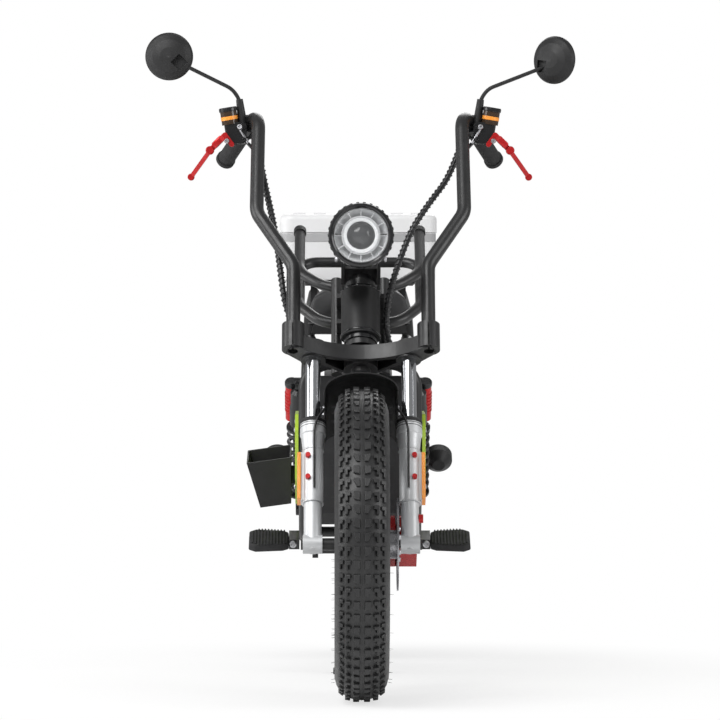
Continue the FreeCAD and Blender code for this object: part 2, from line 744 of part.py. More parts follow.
def lamp_envelope():
    """The bowl's outside as a filled solid with a small gap round it."""
    gap = size("seat_gap")
    radius = size("lamp_radius")
    depth = size("lamp_depth")
    places = [
        (0, -8),
        (radius + gap, -8),
        (radius + gap, 14),
        (radius - 6 + gap, 22),
        (radius - 14 + gap, depth * 0.6),
        (radius * 0.45 + gap, depth + gap),
        (0, depth + gap),
    ]
    corners = [LAMP_CENTRE + Vector(x, y, 0) for x, y in places]
    face = Part.Face(Part.makePolygon(corners + corners[:1]))
    return face.revolve(LAMP_CENTRE, Vector(0, 1, 0), 360)


def headlight_bracket():
    """Plate on the stem's top nut, with two side plates that reach forward under the lamp."""
    floor = size("head_high") + 14.6
    plate = Part.makeBox(78, 66, 7, Vector(-39, -40, floor)).transformed(STEER.toMatrix())
    low = LAMP_CENTRE
    side_view = [
        (low.y + 182, low.z - 90),
        (low.y + 182, low.z - 62),
        (low.y + 148, low.z - 48),
        (low.y + 80, low.z - 34),
        (low.y + 22, low.z - 26),
        (low.y + 22, low.z - 56),
        (low.y + 60, low.z - 96),
        (low.y + 106, low.z - 106),
        (low.y + 122, low.z - 76),
        (low.y + 148, low.z - 76),
    ]
    sides = [arm_plate(side_view, 6, start) for start in (33, -39)]
    whole = plate.fuse(sides).cut(lamp_envelope())
    return keep(feature("lamp_fork", whole), "headlight_bracket")


def fender():
    """Arched sheet over the front tyre, with rounded sides, and its stays."""
    half = size("fender_half_width")
    thick = size("fender_thick")
    body = doc.addObject("PartDesign::Body", "fender_sheet")
    sketch = sketch_on(body, "fender_profile", "XY_Plane")
    edge = "(Dims.tyre_radius + Dims.fender_gap)"
    outline(
        sketch,
        [
            ("-Dims.fender_half_width", f"{edge} - 34"),
            ("-Dims.fender_half_width * 0.86", f"{edge} - 8"),
            ("-Dims.fender_half_width * 0.55", f"{edge} + 3"),
            ("Dims.fender_half_width * 0.55", f"{edge} + 3"),
            ("Dims.fender_half_width * 0.86", f"{edge} - 8"),
            ("Dims.fender_half_width", f"{edge} - 34"),
            ("Dims.fender_half_width - Dims.fender_thick", f"{edge} - 34"),
            ("Dims.fender_half_width * 0.86 - Dims.fender_thick", f"{edge} - 10"),
            ("Dims.fender_half_width * 0.55 - 1", f"{edge}"),
            ("-Dims.fender_half_width * 0.55 + 1", f"{edge}"),
            ("-Dims.fender_half_width * 0.86 + Dims.fender_thick", f"{edge} - 10"),
            ("-Dims.fender_half_width + Dims.fender_thick", f"{edge} - 34"),
        ],
    )
    turn = body.newObject("PartDesign::Revolution", "fender_turned")
    turn.Profile = sketch
    turn.ReferenceAxis = (origin_plane(body, "X_Axis"), [""])
    turn.Angle = 84
    turn.Midplane = True
    body.Tip = turn
    body.Placement = Placement(FRONT_AXLE, Rotation(Vector(1, 0, 0), 84))
    tabs = []
    for side, word in ((-1, "right"), (1, "left")):
        low = STEER.multVec(Vector(half - thick if side > 0 else -half, -52, size("slider_top") + size("seat_gap")))
        tab = box(f"fender_tab_{word}", "Dims.fender_thick", "24", "52", (0, 0, 0), STEER.Rotation)
        tab.Placement.Base = low
        tabs.append(tab)
    return keep(fuse("fender_whole", [body] + tabs), "front_fender")


fender()
doc.recompute()
headlight_bracket()


def fender_stays():
    """Wire stays from the fender's edges down the front of the fork legs."""
    wires = []
    for side in (-1, 1):
        points = [
            Vector(side * 71, -66, 282),
            Vector(side * 84, -70, 264),
            Vector(side * 92, -71, 240),
            Vector(side * 92, -65, 196),
            Vector(side * 92, -62.8, 170),
            Vector(side * 92, -62.8, 112),
        ]
        wires.append(rod(points, 2.2))
    keep(feature("stay_wires", Part.makeCompound(wires)), "fender_stays", STEER)


fender_stays()


def calliper(label, places, disc_centre, placement, mates=()):
    """A brake calliper round its disc: places are the box's corners, mates the nodes it fits to."""
    low, high = places
    block = Part.makeBox(high.x - low.x, high.y - low.y, high.z - low.z, low)
    rounded = block.makeChamfer(9, [e for e in block.Edges if abs(e.tangentAt(0).x) > 0.9])
    middle = (low + high) * 0.5
    piston = Part.makeCylinder(20, 5, Vector(high.x - 1, middle.y, middle.z), Vector(1, 0, 0))
    slot = Part.makeCylinder(
        size("disc_radius") + 4,
        size("disc_thick") + 5,
        disc_centre + Vector(size("disc_place") - 2.5, 0, 0),
        Vector(1, 0, 0),
    )
    hub_room = Part.makeCylinder(33, size("disc_place") - 40, disc_centre + Vector(40, 0, 0), Vector(1, 0, 0))
    home = placement.inverse().toMatrix()
    fitted = [item.Shape.transformed(home) for item in SUBPARTS if item.Label in mates]
    whole = rounded.fuse(piston).cut([slot, hub_room] + fitted)
    return keep(feature(label + "_block", whole), label, placement)


calliper(
    "front_calliper",
    (Vector(52, -27, -4), Vector(108, 62, 72)),
    Vector(0, -size("fork_offset"), 0),
    STEER,
    ("fork_sliders",),
)
calliper(
    "rear_calliper",
    (Vector(54, AFT - 100, 318), Vector(size("arm_spread") - 12, AFT - 30, 392)),
    REAR_AXLE,
    Placement(),
)


def reflectors():
    pads = []
    face = size("leg_spread") + 23.5
    for side in (-1, 1):
        start = face if side > 0 else -face - 7
        pads.append(
            Part.makeBox(7, 32, 100, Vector(start, -size("fork_offset") - 16, size("slider_low") + 6))
        )
    keep(feature("reflector_pads", Part.makeCompound(pads)), "side_reflectors", STEER)


reflectors()


def red_fittings():
    """Coloured bolts on the fork legs and the round adjuster cap on the left one."""
    bolts = []
    face = -size("fork_offset") - 19.2
    for side in (-1, 1):
        for high in (136, 183):
            bolts.append(Part.makeCylinder(5, 8, Vector(side * 104, face + 2, high), Vector(0, -1, 0)))
    cap_x = size("leg_spread") + size("slider_foot_radius") - 1
    bolts.append(Part.makeCylinder(8.5, 9, Vector(cap_x, -size("fork_offset"), 55), Vector(1, 0, 0)))
    legs = next(item for item in SUBPARTS if item.Label == "fork_sliders").Shape
    local = legs.transformed(STEER.inverse().toMatrix())
    whole = Part.makeCompound([bolt.cut(local) for bolt in bolts])
    keep(feature("red_bolts", whole), "fork_bolts", STEER)


red_fittings()


def head_cover():
    """Half-round shroud on the front of the head tube."""
    outer = Part.makeCylinder(39, 108, Vector(0, 0, 472), Vector(0, 0, 1), 180)
    inner = Part.makeCylinder(size("head_radius") + size("seat_gap"), 200, Vector(0, 0, 450))
    half_turn = Placement(Vector(), Rotation(Vector(0, 0, 1), 180))
    keep(feature("head_shroud", outer.cut(inner)), "head_cover", STEER.multiply(half_turn))


head_cover()


def flat_bar(start, end, wide, thick):
    """A bar between two places, flat to the front, with round ends."""
    across = (end - start).cross(Vector(0, 1, 0)).normalize() * (wide / 2)
    near = Vector(0, -thick / 2, 0)
    corners = [start + across + near, end + across + near, end - across + near, start - across + near]
    bar = Part.Face(Part.makePolygon(corners + corners[:1])).extrude(Vector(0, thick, 0))
    ends = [Part.makeCylinder(wide / 2, thick, place + near, Vector(0, 1, 0)) for place in (start, end)]
    return bar.fuse(ends)


CONTROL_Y = -193

# Brake lever: outward, behind and up from the scooter's origin, and the width there
LEVER = (
    ("foot", (262, -211, 1102), 9),
    ("corner", (276, -212, 1121), 10),
    ("knuckle", (307, -196, 1090), 11),
    ("tip", (348, -140, 1038), 9),
)


def bar_controls():
    """Brake cylinders on the bars with their fluid cups and levers."""
    cylinders = []
    cups = []
    levers = []
    tubes = BAR_TUBES.transformed(STEER.toMatrix())
    for side in (-1, 1):

        def at(x, y, z):
            return Vector(side * x, y, z)

        way = Vector(GRIP_WAY.x * side, GRIP_WAY.y, GRIP_WAY.z)
        end = Vector(GRIP_END.x * side, GRIP_END.y, GRIP_END.z)
        clamp = Part.makeCylinder(21, 18, end - way * 139, way).transformed(STEER.toMatrix())
        low = at(232, CONTROL_Y - 14, 1104)
        block = Part.makeBox(42, 28, 44, low if side > 0 else low - Vector(42, 0, 0))
        block = block.makeChamfer(6, [e for e in block.Edges if abs(e.tangentAt(0).y) > 0.9])
        cup_way = at(0.16, -0.05, 0.98).normalize()
        cup_low = at(265, CONTROL_Y, 1142)
        neck = Part.makeCylinder(13, 16, cup_low - cup_way * 14, cup_way)
        body = clamp.fuse([block, neck]).cut(tubes)
        cylinders.append(body)
        cup = Part.makeCylinder(17, 27, cup_low + cup_way * 2, cup_way)
        lid = Part.makeCylinder(18, 7, cup_low + cup_way * 29, cup_way)
        cups.append(cup.fuse(lid).cut(body))
        places = [(at(*place), wide) for name, place, wide in LEVER]
        bars = [
            flat_bar(places[k][0], places[k + 1][0], places[k + 1][1], 8) for k in range(len(LEVER) - 1)
        ]
        levers.append(bars[0].fuse(bars[1:]).cut(body))
    keep(feature("cylinder_pair", Part.makeCompound(cylinders)), "brake_cylinders")
    keep(feature("cup_pair", Part.makeCompound(cups)), "fluid_cups")
    keep(feature("lever_pair", Part.makeCompound(levers)), "brake_levers")


bar_controls()


CABLE_RADIUS = 6.5

# Wrapped leads: places across, behind and along the steering axis
CABLE_ROUTES = {
    "cable_right": [
        (-210, -46.1, 900), (-196, -40, 820), (-180, -44, 740), (-168, -48, 670),
        (-160, -46, 600), (-150, -32, 525), (-122, 12, 476), (-84, 52, 462),
    ],
    "cable_left": [
        (206, -46.1, 900), (184, -38, 830), (142, -36, 770), (104, -30, 710),
        (80, -12, 650), (60, 4, 590), (51, 9, 530), (53, 20, 490), (66, 60, 452),
    ],
}


def cables():
    """Wrapped leads from the bars down beside the risers to the frame."""
    for label, route in CABLE_ROUTES.items():
        points = [Vector(*place) for place in route]
        for k in range(1, len(points) - 1):
            before = points[k - 1] - points[k]
            after = points[k + 1] - points[k]
            half = before.getAngle(after) / 2
            radius = 0.45 * min(before.Length, after.Length) * math.tan(half)
            print(label, "bend", k, "radius", round(radius), "mm")
        keep(feature(label + "_tube", rod(points, CABLE_RADIUS)), label, STEER)


cables()


# Frame in the scooter's own frame
def head_tube():
    tube = cylinder("head_blank", "Dims.head_radius", "Dims.head_high - Dims.head_low")
    bore = cylinder("head_bore", "Dims.stem_radius + Dims.running_gap", "400")
    tube.setExpression("Placement.Base.z", "Dims.head_low")
    bore.setExpression("Placement.Base.z", "Dims.head_low - 50")
    return keep(cut("head_tube_cut", tube, bore), "head_tube", STEER)


head_tube()

SPREAD = size("frame_spread")
SHOCK_TOP = Vector(0, AFT - 285, 610)
SHOCK_FOOT = Vector(0, AFT - 85, 330)
LOOP_SIDE = [
    Vector(SPREAD, FORE + 112, 655),
    Vector(SPREAD, FORE + 130, 400),
    Vector(SPREAD, FORE + 198, 300),
    Vector(SPREAD, AFT - 485, 292),
    Vector(SPREAD, AFT - 345, 400),
    Vector(SPREAD, AFT - 300, 640),
    Vector(SPREAD - 6, AFT - 195, 765),
    Vector(SPREAD - 14, AFT + 55, 812),
]


def frame_tubes():
    path = mirrored(LOOP_SIDE)[::-1] + LOOP_SIDE
    loop = rod(path, size("frame_radius"), bend=52)
    down = rod(
        [from_steer(0, size("head_radius") - 4, 478), Vector(0, FORE + 80, 668), Vector(0, FORE + 106, 655)],
        18,
    )
    head_hole = Part.makeCylinder(size("head_radius"), 300, Vector(0, 0, 400))
    head_hole = head_hole.transformed(STEER.toMatrix())
    rails = []
    for side in (-1, 1):
        rail = rod(
            [
                Vector(side * (SPREAD + 1), FORE + 248, 297),
                Vector(side * (SPREAD + 1), FORE + 288, 477),
                Vector(side * (SPREAD - 9), AFT - 585, 703),
                Vector(side * (SPREAD - 9), AFT - 305, 706.7),
            ],
            11,
            bend=80,
        )
        rails.append(rail)
    cross = [
        Part.makeCylinder(11, 2 * SPREAD, Vector(-SPREAD, AFT - 485, 296), Vector(1, 0, 0)),
        Part.makeCylinder(11, 2 * SPREAD, Vector(-SPREAD, AFT - 319, 610), Vector(1, 0, 0)),
    ]
    gussets = []
    pivot = Vector(0, AFT - size("arm_reach"), size("arm_pivot_height"))
    plate_low = size("arm_spread") + 8 + size("seat_gap")
    for side in (-1, 1):
        start = plate_low if side > 0 else -plate_low - 8
        gussets.append(Part.makeBox(8, 50, 64, Vector(start, pivot.y - 25, pivot.z - 44)))
        ear = size("shock_spread") - 6.5 - size("seat_gap")
        start = SPREAD if side > 0 else -ear
        gussets.append(Part.makeCylinder(13, ear - SPREAD, SHOCK_TOP + Vector(start, 0, 0), Vector(1, 0, 0)))
    pivot_hole = Part.makeCylinder(size("axle_radius"), 300, pivot - Vector(150, 0, 0), Vector(1, 0, 0))
    whole = loop.fuse([down] + rails + cross + gussets).cut([head_hole, pivot_hole])
    return keep(feature("frame_tubes", whole), "frame")


frame_tubes()


def battery_case():
    body = padded(
        "case_block",
        [
            ("Dims.fore + Dims.case_behind", "Dims.case_low + 24"),
            ("Dims.fore + Dims.case_behind + 20", "Dims.case_low"),
            ("Dims.aft - 555", "Dims.case_low"),
            ("Dims.aft - 555", "Dims.case_low + 71"),
            ("Dims.fore + 358", "Dims.case_low + 71"),
            ("Dims.fore + 318", "Dims.case_low + 121"),
            ("Dims.fore + 208", "Dims.case_high - 8"),
            ("Dims.fore + 196", "Dims.case_high"),
            ("Dims.fore + Dims.case_behind + 12", "Dims.case_high"),
            ("Dims.fore + Dims.case_behind", "Dims.case_high - 14"),
        ],
        "Dims.case_half_width * 2",
        "YZ_Plane",
        midplane=True,
    )
    return keep(body, "battery_case")


battery_case()


def side_panels():
    pair = []
    for side, word in ((-1, "right"), (1, "left")):
        body = padded(
            f"side_panel_{word}",
            [
                ("Dims.fore + 112", "520"),
                ("Dims.fore + 136", "552"),
                ("Dims.fore + 278", "557"),
                ("Dims.fore + 428", "470"),
                ("Dims.fore + 518", "380"),
                ("Dims.fore + 458", "365"),
                ("Dims.fore + 198", "368"),
                ("Dims.fore + 126", "420"),
            ],
            "Dims.panel_thick",
            "YZ_Plane",
        )
        inner = "Dims.frame_spread + Dims.frame_radius + Dims.seat_gap"
        place = inner if side > 0 else f"-({inner}) - Dims.panel_thick"
        body.setExpression("Placement.Base.x", place)
        keep(body, f"side_panel_{word}")


side_panels()


def carrier():
    """Twin posts behind the head tube, an open upper hoop and a closed lower ring."""
    rise = math.radians(size("hoop_rise"))
    along = Vector(0, math.cos(rise), math.sin(rise))
    posts = []
    spread = size("post_spread")
    behind = size("post_behind")
    for side in (-1, 1):
        post = Part.makeCylinder(
            size("post_radius"),
            size("post_high") - size("post_low"),
            Vector(side * spread, behind, size("post_low")),
        )
        posts.append(post.transformed(STEER.toMatrix()))
    plates = []
    for high in (520, 578):
        plate = Part.makeBox(2 * spread, behind - 20, 10, Vector(-spread, 20, high))
        collar = Part.makeCylinder(size("head_radius") + size("seat_gap"), 40, Vector(0, 0, high - 10))
        plates.append(plate.cut(collar).transformed(STEER.toMatrix()))
    half = size("hoop_spread")
    tube = size("hoop_radius")
    front_behind = behind + size("post_radius") + tube - 3
    upper = from_steer(0, front_behind, 642)
    lower = from_steer(0, front_behind, 560)
    reach = size("hoop_reach")
    side_points = [
        Vector(half, 0, 0) + upper + along * reach,
        Vector(half, 0, 0) + upper + along * 60,
        Vector(half * 0.55, 0, 0) + upper,
    ]
    open_hoop = rod(side_points + mirrored(side_points)[::-1], tube, bend=70)
    ring_half = [
        Vector(0, 0, 0) + lower,
        Vector(half * 0.62, 0, 0) + lower,
        Vector(half, 0, 0) + lower + along * 66,
        Vector(half, 0, 0) + lower + along * (size("ring_reach") - 20),
        Vector(half * 0.8, 0, 0) + lower + along * size("ring_reach"),
        Vector(0, 0, 0) + lower + along * size("ring_reach"),
    ]
    ring = rod(ring_half, tube, bend=60).fuse(rod(mirrored(ring_half), tube, bend=60))
    caps = []
    for side in (-1, 1):
        end = Vector(side * half, 0, 0) + upper + along * reach
        caps.append(Part.makeCylinder(tube + 2, 14, end, along))
    whole = posts[0].fuse(posts[1:] + plates + [open_hoop, ring] + caps)
    return keep(feature("carrier_tubes", whole), "bag_carrier")


carrier()


def bag_base():
    """Tilted tray that the bag's foot stands in, on a post from the battery case."""
    tilt = math.radians(size("hoop_rise"))
    middle = Vector(0, FORE + 418, 530)
    tray = Part.makeCylinder(88, 36)
    inside = Part.makeCylinder(84, 36, Vector(0, 0, 5))
    place = Placement(middle, Rotation(Vector(1, 0, 0), size("hoop_rise")))
    tray = tray.cut(inside).transformed(place.toMatrix())
    case_step = size("case_low") + 71
    foot = [(middle.y - 12, case_step), (middle.y + 46, case_step)]
    head = [(y, middle.z + (y - middle.y) * math.tan(tilt)) for y in (middle.y + 46, middle.y - 12)]
    leg = arm_plate(foot + head, 60, -30)
    return keep(feature("bag_tray", tray.fuse(leg)), "bag_base")


bag_base()


def seat_pieces():
    body = doc.addObject("PartDesign::Body", "cushion_body")
    sketch = sketch_on(body, "cushion_section", "XZ_Plane")
    low = "Dims.seat_low"
    high = "Dims.seat_high"
    outline(
        sketch,
        [
            ("-Dims.seat_half_width + 10", low),
            ("-Dims.seat_half_width", f"{low} + 18"),
            ("-Dims.seat_half_width + 12", f"{high} - 26"),
            ("-Dims.seat_half_width + 44", f"{high} - 6"),
            ("-Dims.seat_half_width + 80", high),
            ("Dims.seat_half_width - 80", high),
            ("Dims.seat_half_width - 44", f"{high} - 6"),
            ("Dims.seat_half_width - 12", f"{high} - 26"),
            ("Dims.seat_half_width", f"{low} + 18"),
            ("Dims.seat_half_width - 10", low),
        ],
    )
    pad = body.newObject("PartDesign::Pad", "cushion_pad")
    pad.Profile = sketch
    pad.Reversed = True
    pad.setExpression("Length", "Dims.seat_length")
    body.Tip = pad
    body.setExpression("Placement.Base.y", "Dims.aft - Dims.seat_ahead - Dims.seat_length")
    keep(body, "seat_cushion")
    base = padded(
        "seat_pan",
        [
            ("-102", "Dims.seat_low - 20"),
            ("-96", "Dims.seat_low - Dims.seat_gap"),
            ("96", "Dims.seat_low - Dims.seat_gap"),
            ("102", "Dims.seat_low - 20"),
        ],
        "Dims.seat_length - 16",
        "XZ_Plane",
    )
    base.Group[-1].Reversed = True
    base.setExpression("Placement.Base.y", "Dims.aft - Dims.seat_ahead - Dims.seat_length + 8")
    keep(base, "seat_base")


seat_pieces()


def rack():
    """Rails and cross bars under the cooler."""
    low = size("rack_high") - 14
    middle = AFT - size("cooler_ahead")
    pieces = []
    for side in (-1, 1):
        pieces.append(Part.makeBox(20, 290, 14, Vector(side * 95 - 10, middle - 145, low)))
    for place in (-120, -40, 40, 134):
        pieces.append(Part.makeBox(250, 22, 8, Vector(-125, middle + place - 11, low + 6)))
    for side in (-1, 1):
        for place, foot in ((-90, 778), (100, 808)):
            pieces.append(
                Part.makeBox(14, 14, low - foot + 1, Vector(side * 98 - 7, middle + place - 7, foot))
            )
    whole = pieces[0].fuse(pieces[1:])
    tubes = next(item for item in SUBPARTS if item.Label == "frame").Shape
    return keep(feature("rack_bars", whole.cut(tubes)), "rear_rack")


rack()


def rounded(name, base, radius, test):
    """Round the edges of a box that pass a test."""
    doc.recompute()
    item = doc.addObject("Part::Fillet", name)
    item.Base = base
    item.Edges = [(k, radius, radius) for k, edge in enumerate(base.Shape.Edges, 1) if test(edge)]
    return item


def upright(edge):
    return abs(edge.tangentAt(edge.FirstParameter).z) > 0.9


# Ridges on the lid, across from the middle
RIDGES = (-130, -85, 85, 130)


def cooler():
    """Cool box on the rack with a ridged lid hinged along its rear edge."""
    width = "Dims.cooler_width"
    depth = "Dims.cooler_depth"
    outer = box("cooler_outer", width, depth, "Dims.cooler_tall")
    inner = box(
        "cooler_inner",
        f"{width} - Dims.cooler_wall * 2",
        f"{depth} - Dims.cooler_wall * 2",
        "Dims.cooler_tall",
    )
    lid = box("lid_top", f"{width} + 6", f"{depth} + 6", "Dims.lid_thick")
    lid_low = "Dims.cooler_low + Dims.cooler_tall + Dims.seat_gap"
    for item, margin, high in (
        (outer, "0", "Dims.cooler_low"),
        (inner, "Dims.cooler_wall", "Dims.cooler_low + Dims.cooler_wall"),
        (lid, "-3", lid_low),
    ):
        item.setExpression("Placement.Base.x", f"-{width} / 2 + {margin}")
        item.setExpression("Placement.Base.y", f"Dims.aft - Dims.cooler_ahead - {depth} / 2 + {margin}")
        item.setExpression("Placement.Base.z", high)
    corner = size("cooler_corner")
    shell = rounded("cooler_corners", outer, corner, upright)
    hollow = rounded("cooler_hollow", inner, corner - size("cooler_wall") + 4, upright)
    keep(cut("cooler_cut", shell, hollow), "cooler_body")
    lid_corners = rounded("lid_corners", lid, corner + 3, upright)
    doc.recompute()
    top = lid_corners.Shape.BoundBox.ZMax
    lid_whole = rounded("lid_edges", lid_corners, 12, lambda edge: edge.BoundBox.ZMin > top - 0.1)
    ridges = []
    for k, across in enumerate(RIDGES):
        ridge = box(f"lid_ridge_{k}", "26", f"{depth} - 50", "Dims.ridge_high + 2")
        ridge.Placement.Base.x = across - 13
        ridge.setExpression("Placement.Base.y", f"Dims.aft - Dims.cooler_ahead - {depth} / 2 + 25")
        ridge.setExpression("Placement.Base.z", f"{lid_low} + Dims.lid_thick - 2")
        ridges.append(ridge)
    keep(fuse("lid_ridged", [lid_whole] + ridges), "cooler_lid")


cooler()


def swingarm():
    pivot_y = AFT - size("arm_reach")
    pivot_z = size("arm_pivot_height")
    spread = size("arm_spread")
    arms = []
    for side in (-1, 1):
        arm = arm_plate(
            [
                (pivot_y - 18, pivot_z - 18),
                (REAR_AXLE.y + 24, REAR_AXLE.z - 22),
                (REAR_AXLE.y + 24, REAR_AXLE.z + 22),
                (REAR_AXLE.y - 60, REAR_AXLE.z + 30),
                (pivot_y - 18, pivot_z + 20),
            ],
            16,
            side * spread - 8,
        )
        arms.append(arm)
    bridge = Part.makeCylinder(17, 2 * spread, Vector(-spread, pivot_y, pivot_z), Vector(1, 0, 0))
    bolt = Part.makeCylinder(
        size("axle_radius"), 2 * spread + 44, Vector(-spread - 22, pivot_y, pivot_z), Vector(1, 0, 0)
    )
    stay = Part.makeBox(2 * spread, 30, 24, Vector(-spread, pivot_y + 120, pivot_z - 14))
    hole = Part.makeCylinder(size("axle_radius"), 400, Vector(-200, REAR_AXLE.y, REAR_AXLE.z), Vector(1, 0, 0))
    bosses = []
    for side in (-1, 1):
        reach = size("shock_spread") - 6.5 - size("seat_gap") - spread
        bosses.append(Part.makeCylinder(11, reach, SHOCK_FOOT + Vector(side * spread, 0, 0), Vector(side, 0, 0)))
    whole = arms[0].fuse([arms[1], bridge, bolt, stay] + bosses).cut(hole)
    return keep(feature("swingarm_solid", whole), "swingarm")


swingarm()


def rear_axle():
    spread = size("arm_spread")
    middle = Vector(0, REAR_AXLE.y, REAR_AXLE.z)
    pin = Part.makeCylinder(size("axle_radius"), 2 * spread + 40, middle - Vector(spread + 20, 0, 0), Vector(1, 0, 0))
    nuts = []
    for side in (-1, 1):
        start = spread + 8 if side > 0 else -spread - 8 - 9
        nuts.append(Part.makeCylinder(14, 9, middle + Vector(start, 0, 0), Vector(1, 0, 0)))
    return keep(feature("rear_pin", pin.fuse(nuts)), "rear_axle")


rear_axle()


def shocks():
    """Coil shocks between the frame and the swingarm, with a reservoir beside each."""
    bodies = []
    tanks = []
    spread = size("shock_spread")
    spring_radius = 25
    wire = 5
    turns = 7
    for side in (-1, 1):
        low = SHOCK_FOOT + Vector(side * spread, 0, 0)
        high = SHOCK_TOP + Vector(side * spread, 0, 0)
        way = (high - low).normalize()
        length = (high - low).Length
        pitch = (length - 174) / turns
        profile = [Vector(0, 0, 50), Vector(spring_radius, 0, 50), Vector(spring_radius, 0, 54)]
        for k in range(turns):
            start = 54 + k * pitch
            profile.append(Vector(spring_radius - wire, 0, start + pitch * 0.3))
            profile.append(Vector(spring_radius, 0, start + pitch * 0.5))
            profile.append(Vector(spring_radius, 0, start + pitch * 0.8))
        profile += [Vector(spring_radius - wire, 0, length - 116), Vector(0, 0, length - 116)]
        ribs = Part.Face(Part.makePolygon(profile + profile[:1]))
        turn = Placement(low, Rotation(Vector(0, 0, 1), way))
        spring = ribs.revolve(Vector(), Vector(0, 0, 1), 360).transformed(turn.toMatrix())
        shaft = Part.makeCylinder(6.2, length, low, way)
        head = Part.makeCylinder(16, 102, low + way * (length - 118), way)
        eyes = [
            Part.makeCylinder(14, 13, p - Vector(6.5, 0, 0), Vector(1, 0, 0)) for p in (low, high)
        ]
        bodies.append(spring.fuse([shaft, head] + eyes))
        beside = Vector(side * 14, 21.9, 15.6)
        tanks.append(Part.makeCylinder(14, 88, high - way * 112 + beside, way))
    keep(feature("shock_bodies", Part.makeCompound(bodies)), "rear_shocks")
    keep(feature("shock_tanks", Part.makeCompound(tanks)), "shock_reservoirs")


shocks()


# Foot peg seen from above: outward from its inner end, and behind its middle
PEG_PLAN = ((0, -27), (12, -35), (70, -40), (84, -30), (84, 28), (70, 38), (12, 32), (0, 24))


def pegs():
    """Ribbed foot pegs, tilted, each on a folding bracket bolted beside the frame tube."""
    plates = []
    arms = []
    inner = size("peg_inner")
    start = size("frame_spread") + size("frame_radius") + size("seat_gap")
    turn = Placement(Vector(0, size("peg_place"), size("peg_height")), Rotation(Vector(1, 0, 0), 24))
    for side in (-1, 1):
        corners = [Vector(side * (inner + x), y, -12) for x, y in PEG_PLAN]
        plan = Part.Face(Part.makePolygon(corners + corners[:1]))
        slab = plan.extrude(Vector(0, 0, 16))
        keeper = plan.extrude(Vector(0, 0, 20))
        ribs = []
        for k in range(7):
            low = inner + 8 + k * 10.5
            rib = Part.makeBox(5, 90, 8, Vector(low if side > 0 else -low - 5, -45, 2))
            ribs.append(rib.common(keeper))
        plates.append(slab.fuse(ribs).transformed(turn.toMatrix()))
        low = start if side > 0 else -inner
        arm = Part.makeBox(inner - start, 44, 22, Vector(low, -22, -14))
        arms.append(arm.transformed(turn.toMatrix()))
    keep(feature("peg_plates", Part.makeCompound(plates)), "foot_pegs")
    keep(feature("peg_arms", Part.makeCompound(arms)), "peg_brackets")


pegs()


def stand():
    """Centre stand: two legs from a pivot tube under the frame, with feet on the ground."""
    spread = size("stand_spread")
    pivot = Vector(0, size("stand_pivot_place"), size("stand_pivot_height"))
    across = Vector(1, 0, 0)
    width = 2 * spread + 24
    tube = Part.makeCylinder(15, width, pivot - across * (width / 2), across)
    bore = Part.makeCylinder(size("axle_radius") + size("running_gap"), width, pivot - across * (width / 2), across)
    legs = []
    for side in (-1, 1):
        top = pivot + Vector(side * spread, 0, 0)
        knee = Vector(side * (spread + 4), pivot.y + 24, 70)
        foot = Vector(side * (spread + 8), pivot.y + 30, 8)
        legs.append(rod([top, knee, foot], 9))
        legs.append(Part.makeBox(22, 66, 9, Vector(side * (spread + 8) - 11, pivot.y - 4, 0)))
    cross = Part.makeCylinder(7, 2 * spread, Vector(-spread, pivot.y + 15, 140), across)
    whole = tube.fuse(legs + [cross]).cut(bore)
    keep(feature("stand_solid", whole), "centre_stand")
    face = size("frame_spread") - size("frame_radius") - size("seat_gap")
    pin = Part.makeCylinder(size("axle_radius"), 2 * face, pivot - across * face, across)
    ears = []
    for side in (-1, 1):
        start = face - 12 if side > 0 else -face
        ears.append(Part.makeBox(12, 44, 62, Vector(start, pivot.y - 22, pivot.z - 16)))
    keep(feature("stand_pin", pin.fuse(ears)), "stand_mount")


stand()


# Cup box seen from above: outward from its inner wall, and behind its rear wall
CUP_RIM = ((0, 0), (92, 0), (92, -116), (0, -116))
CUP_FOOT = ((14, -14), (78, -14), (78, -102), (14, -102))


def cup_box():
    """Open box for divot sand or a cup, tapered downwards, leaning out and forward."""
    tall = 100
    wall = 3

    def level(plan, high, inset):
        middle = Vector(-46, -58, high)
        corners = []
        for x, y in plan:
            place = Vector(-x, y, high)
            away = middle - place
            corners.append(place + Vector(math.copysign(inset, away.x), math.copysign(inset, away.y), 0))
        return Part.makePolygon(corners + corners[:1])

    outer = Part.makeLoft([level(CUP_FOOT, 0, 0), level(CUP_RIM, tall, 0)], True, True)
    inner = Part.makeLoft([level(CUP_FOOT, wall, wall), level(CUP_RIM, tall + 1, wall)], True, True)
    handle = Part.makeBox(40, 46, 13, Vector(-110, -81, tall - 26))
    lean = Rotation(Vector(1, 0, 0), 12).multiply(Rotation(Vector(0, 1, 0), -8))
    place = Placement(Vector(-127.4, -51, 390), lean)
    shell = outer.cut([inner, handle]).transformed(place.toMatrix())
    hollow = inner.transformed(place.toMatrix())
    face = size("frame_spread") + size("frame_radius") + size("seat_gap") * 2 + size("panel_thick")
    strap = Part.makeBox(152 - face, 40, 36, Vector(-152, -145, 408))
    return keep(feature("cup_shell", shell.fuse(strap).cut(hollow)), "cup_box")


cup_box()


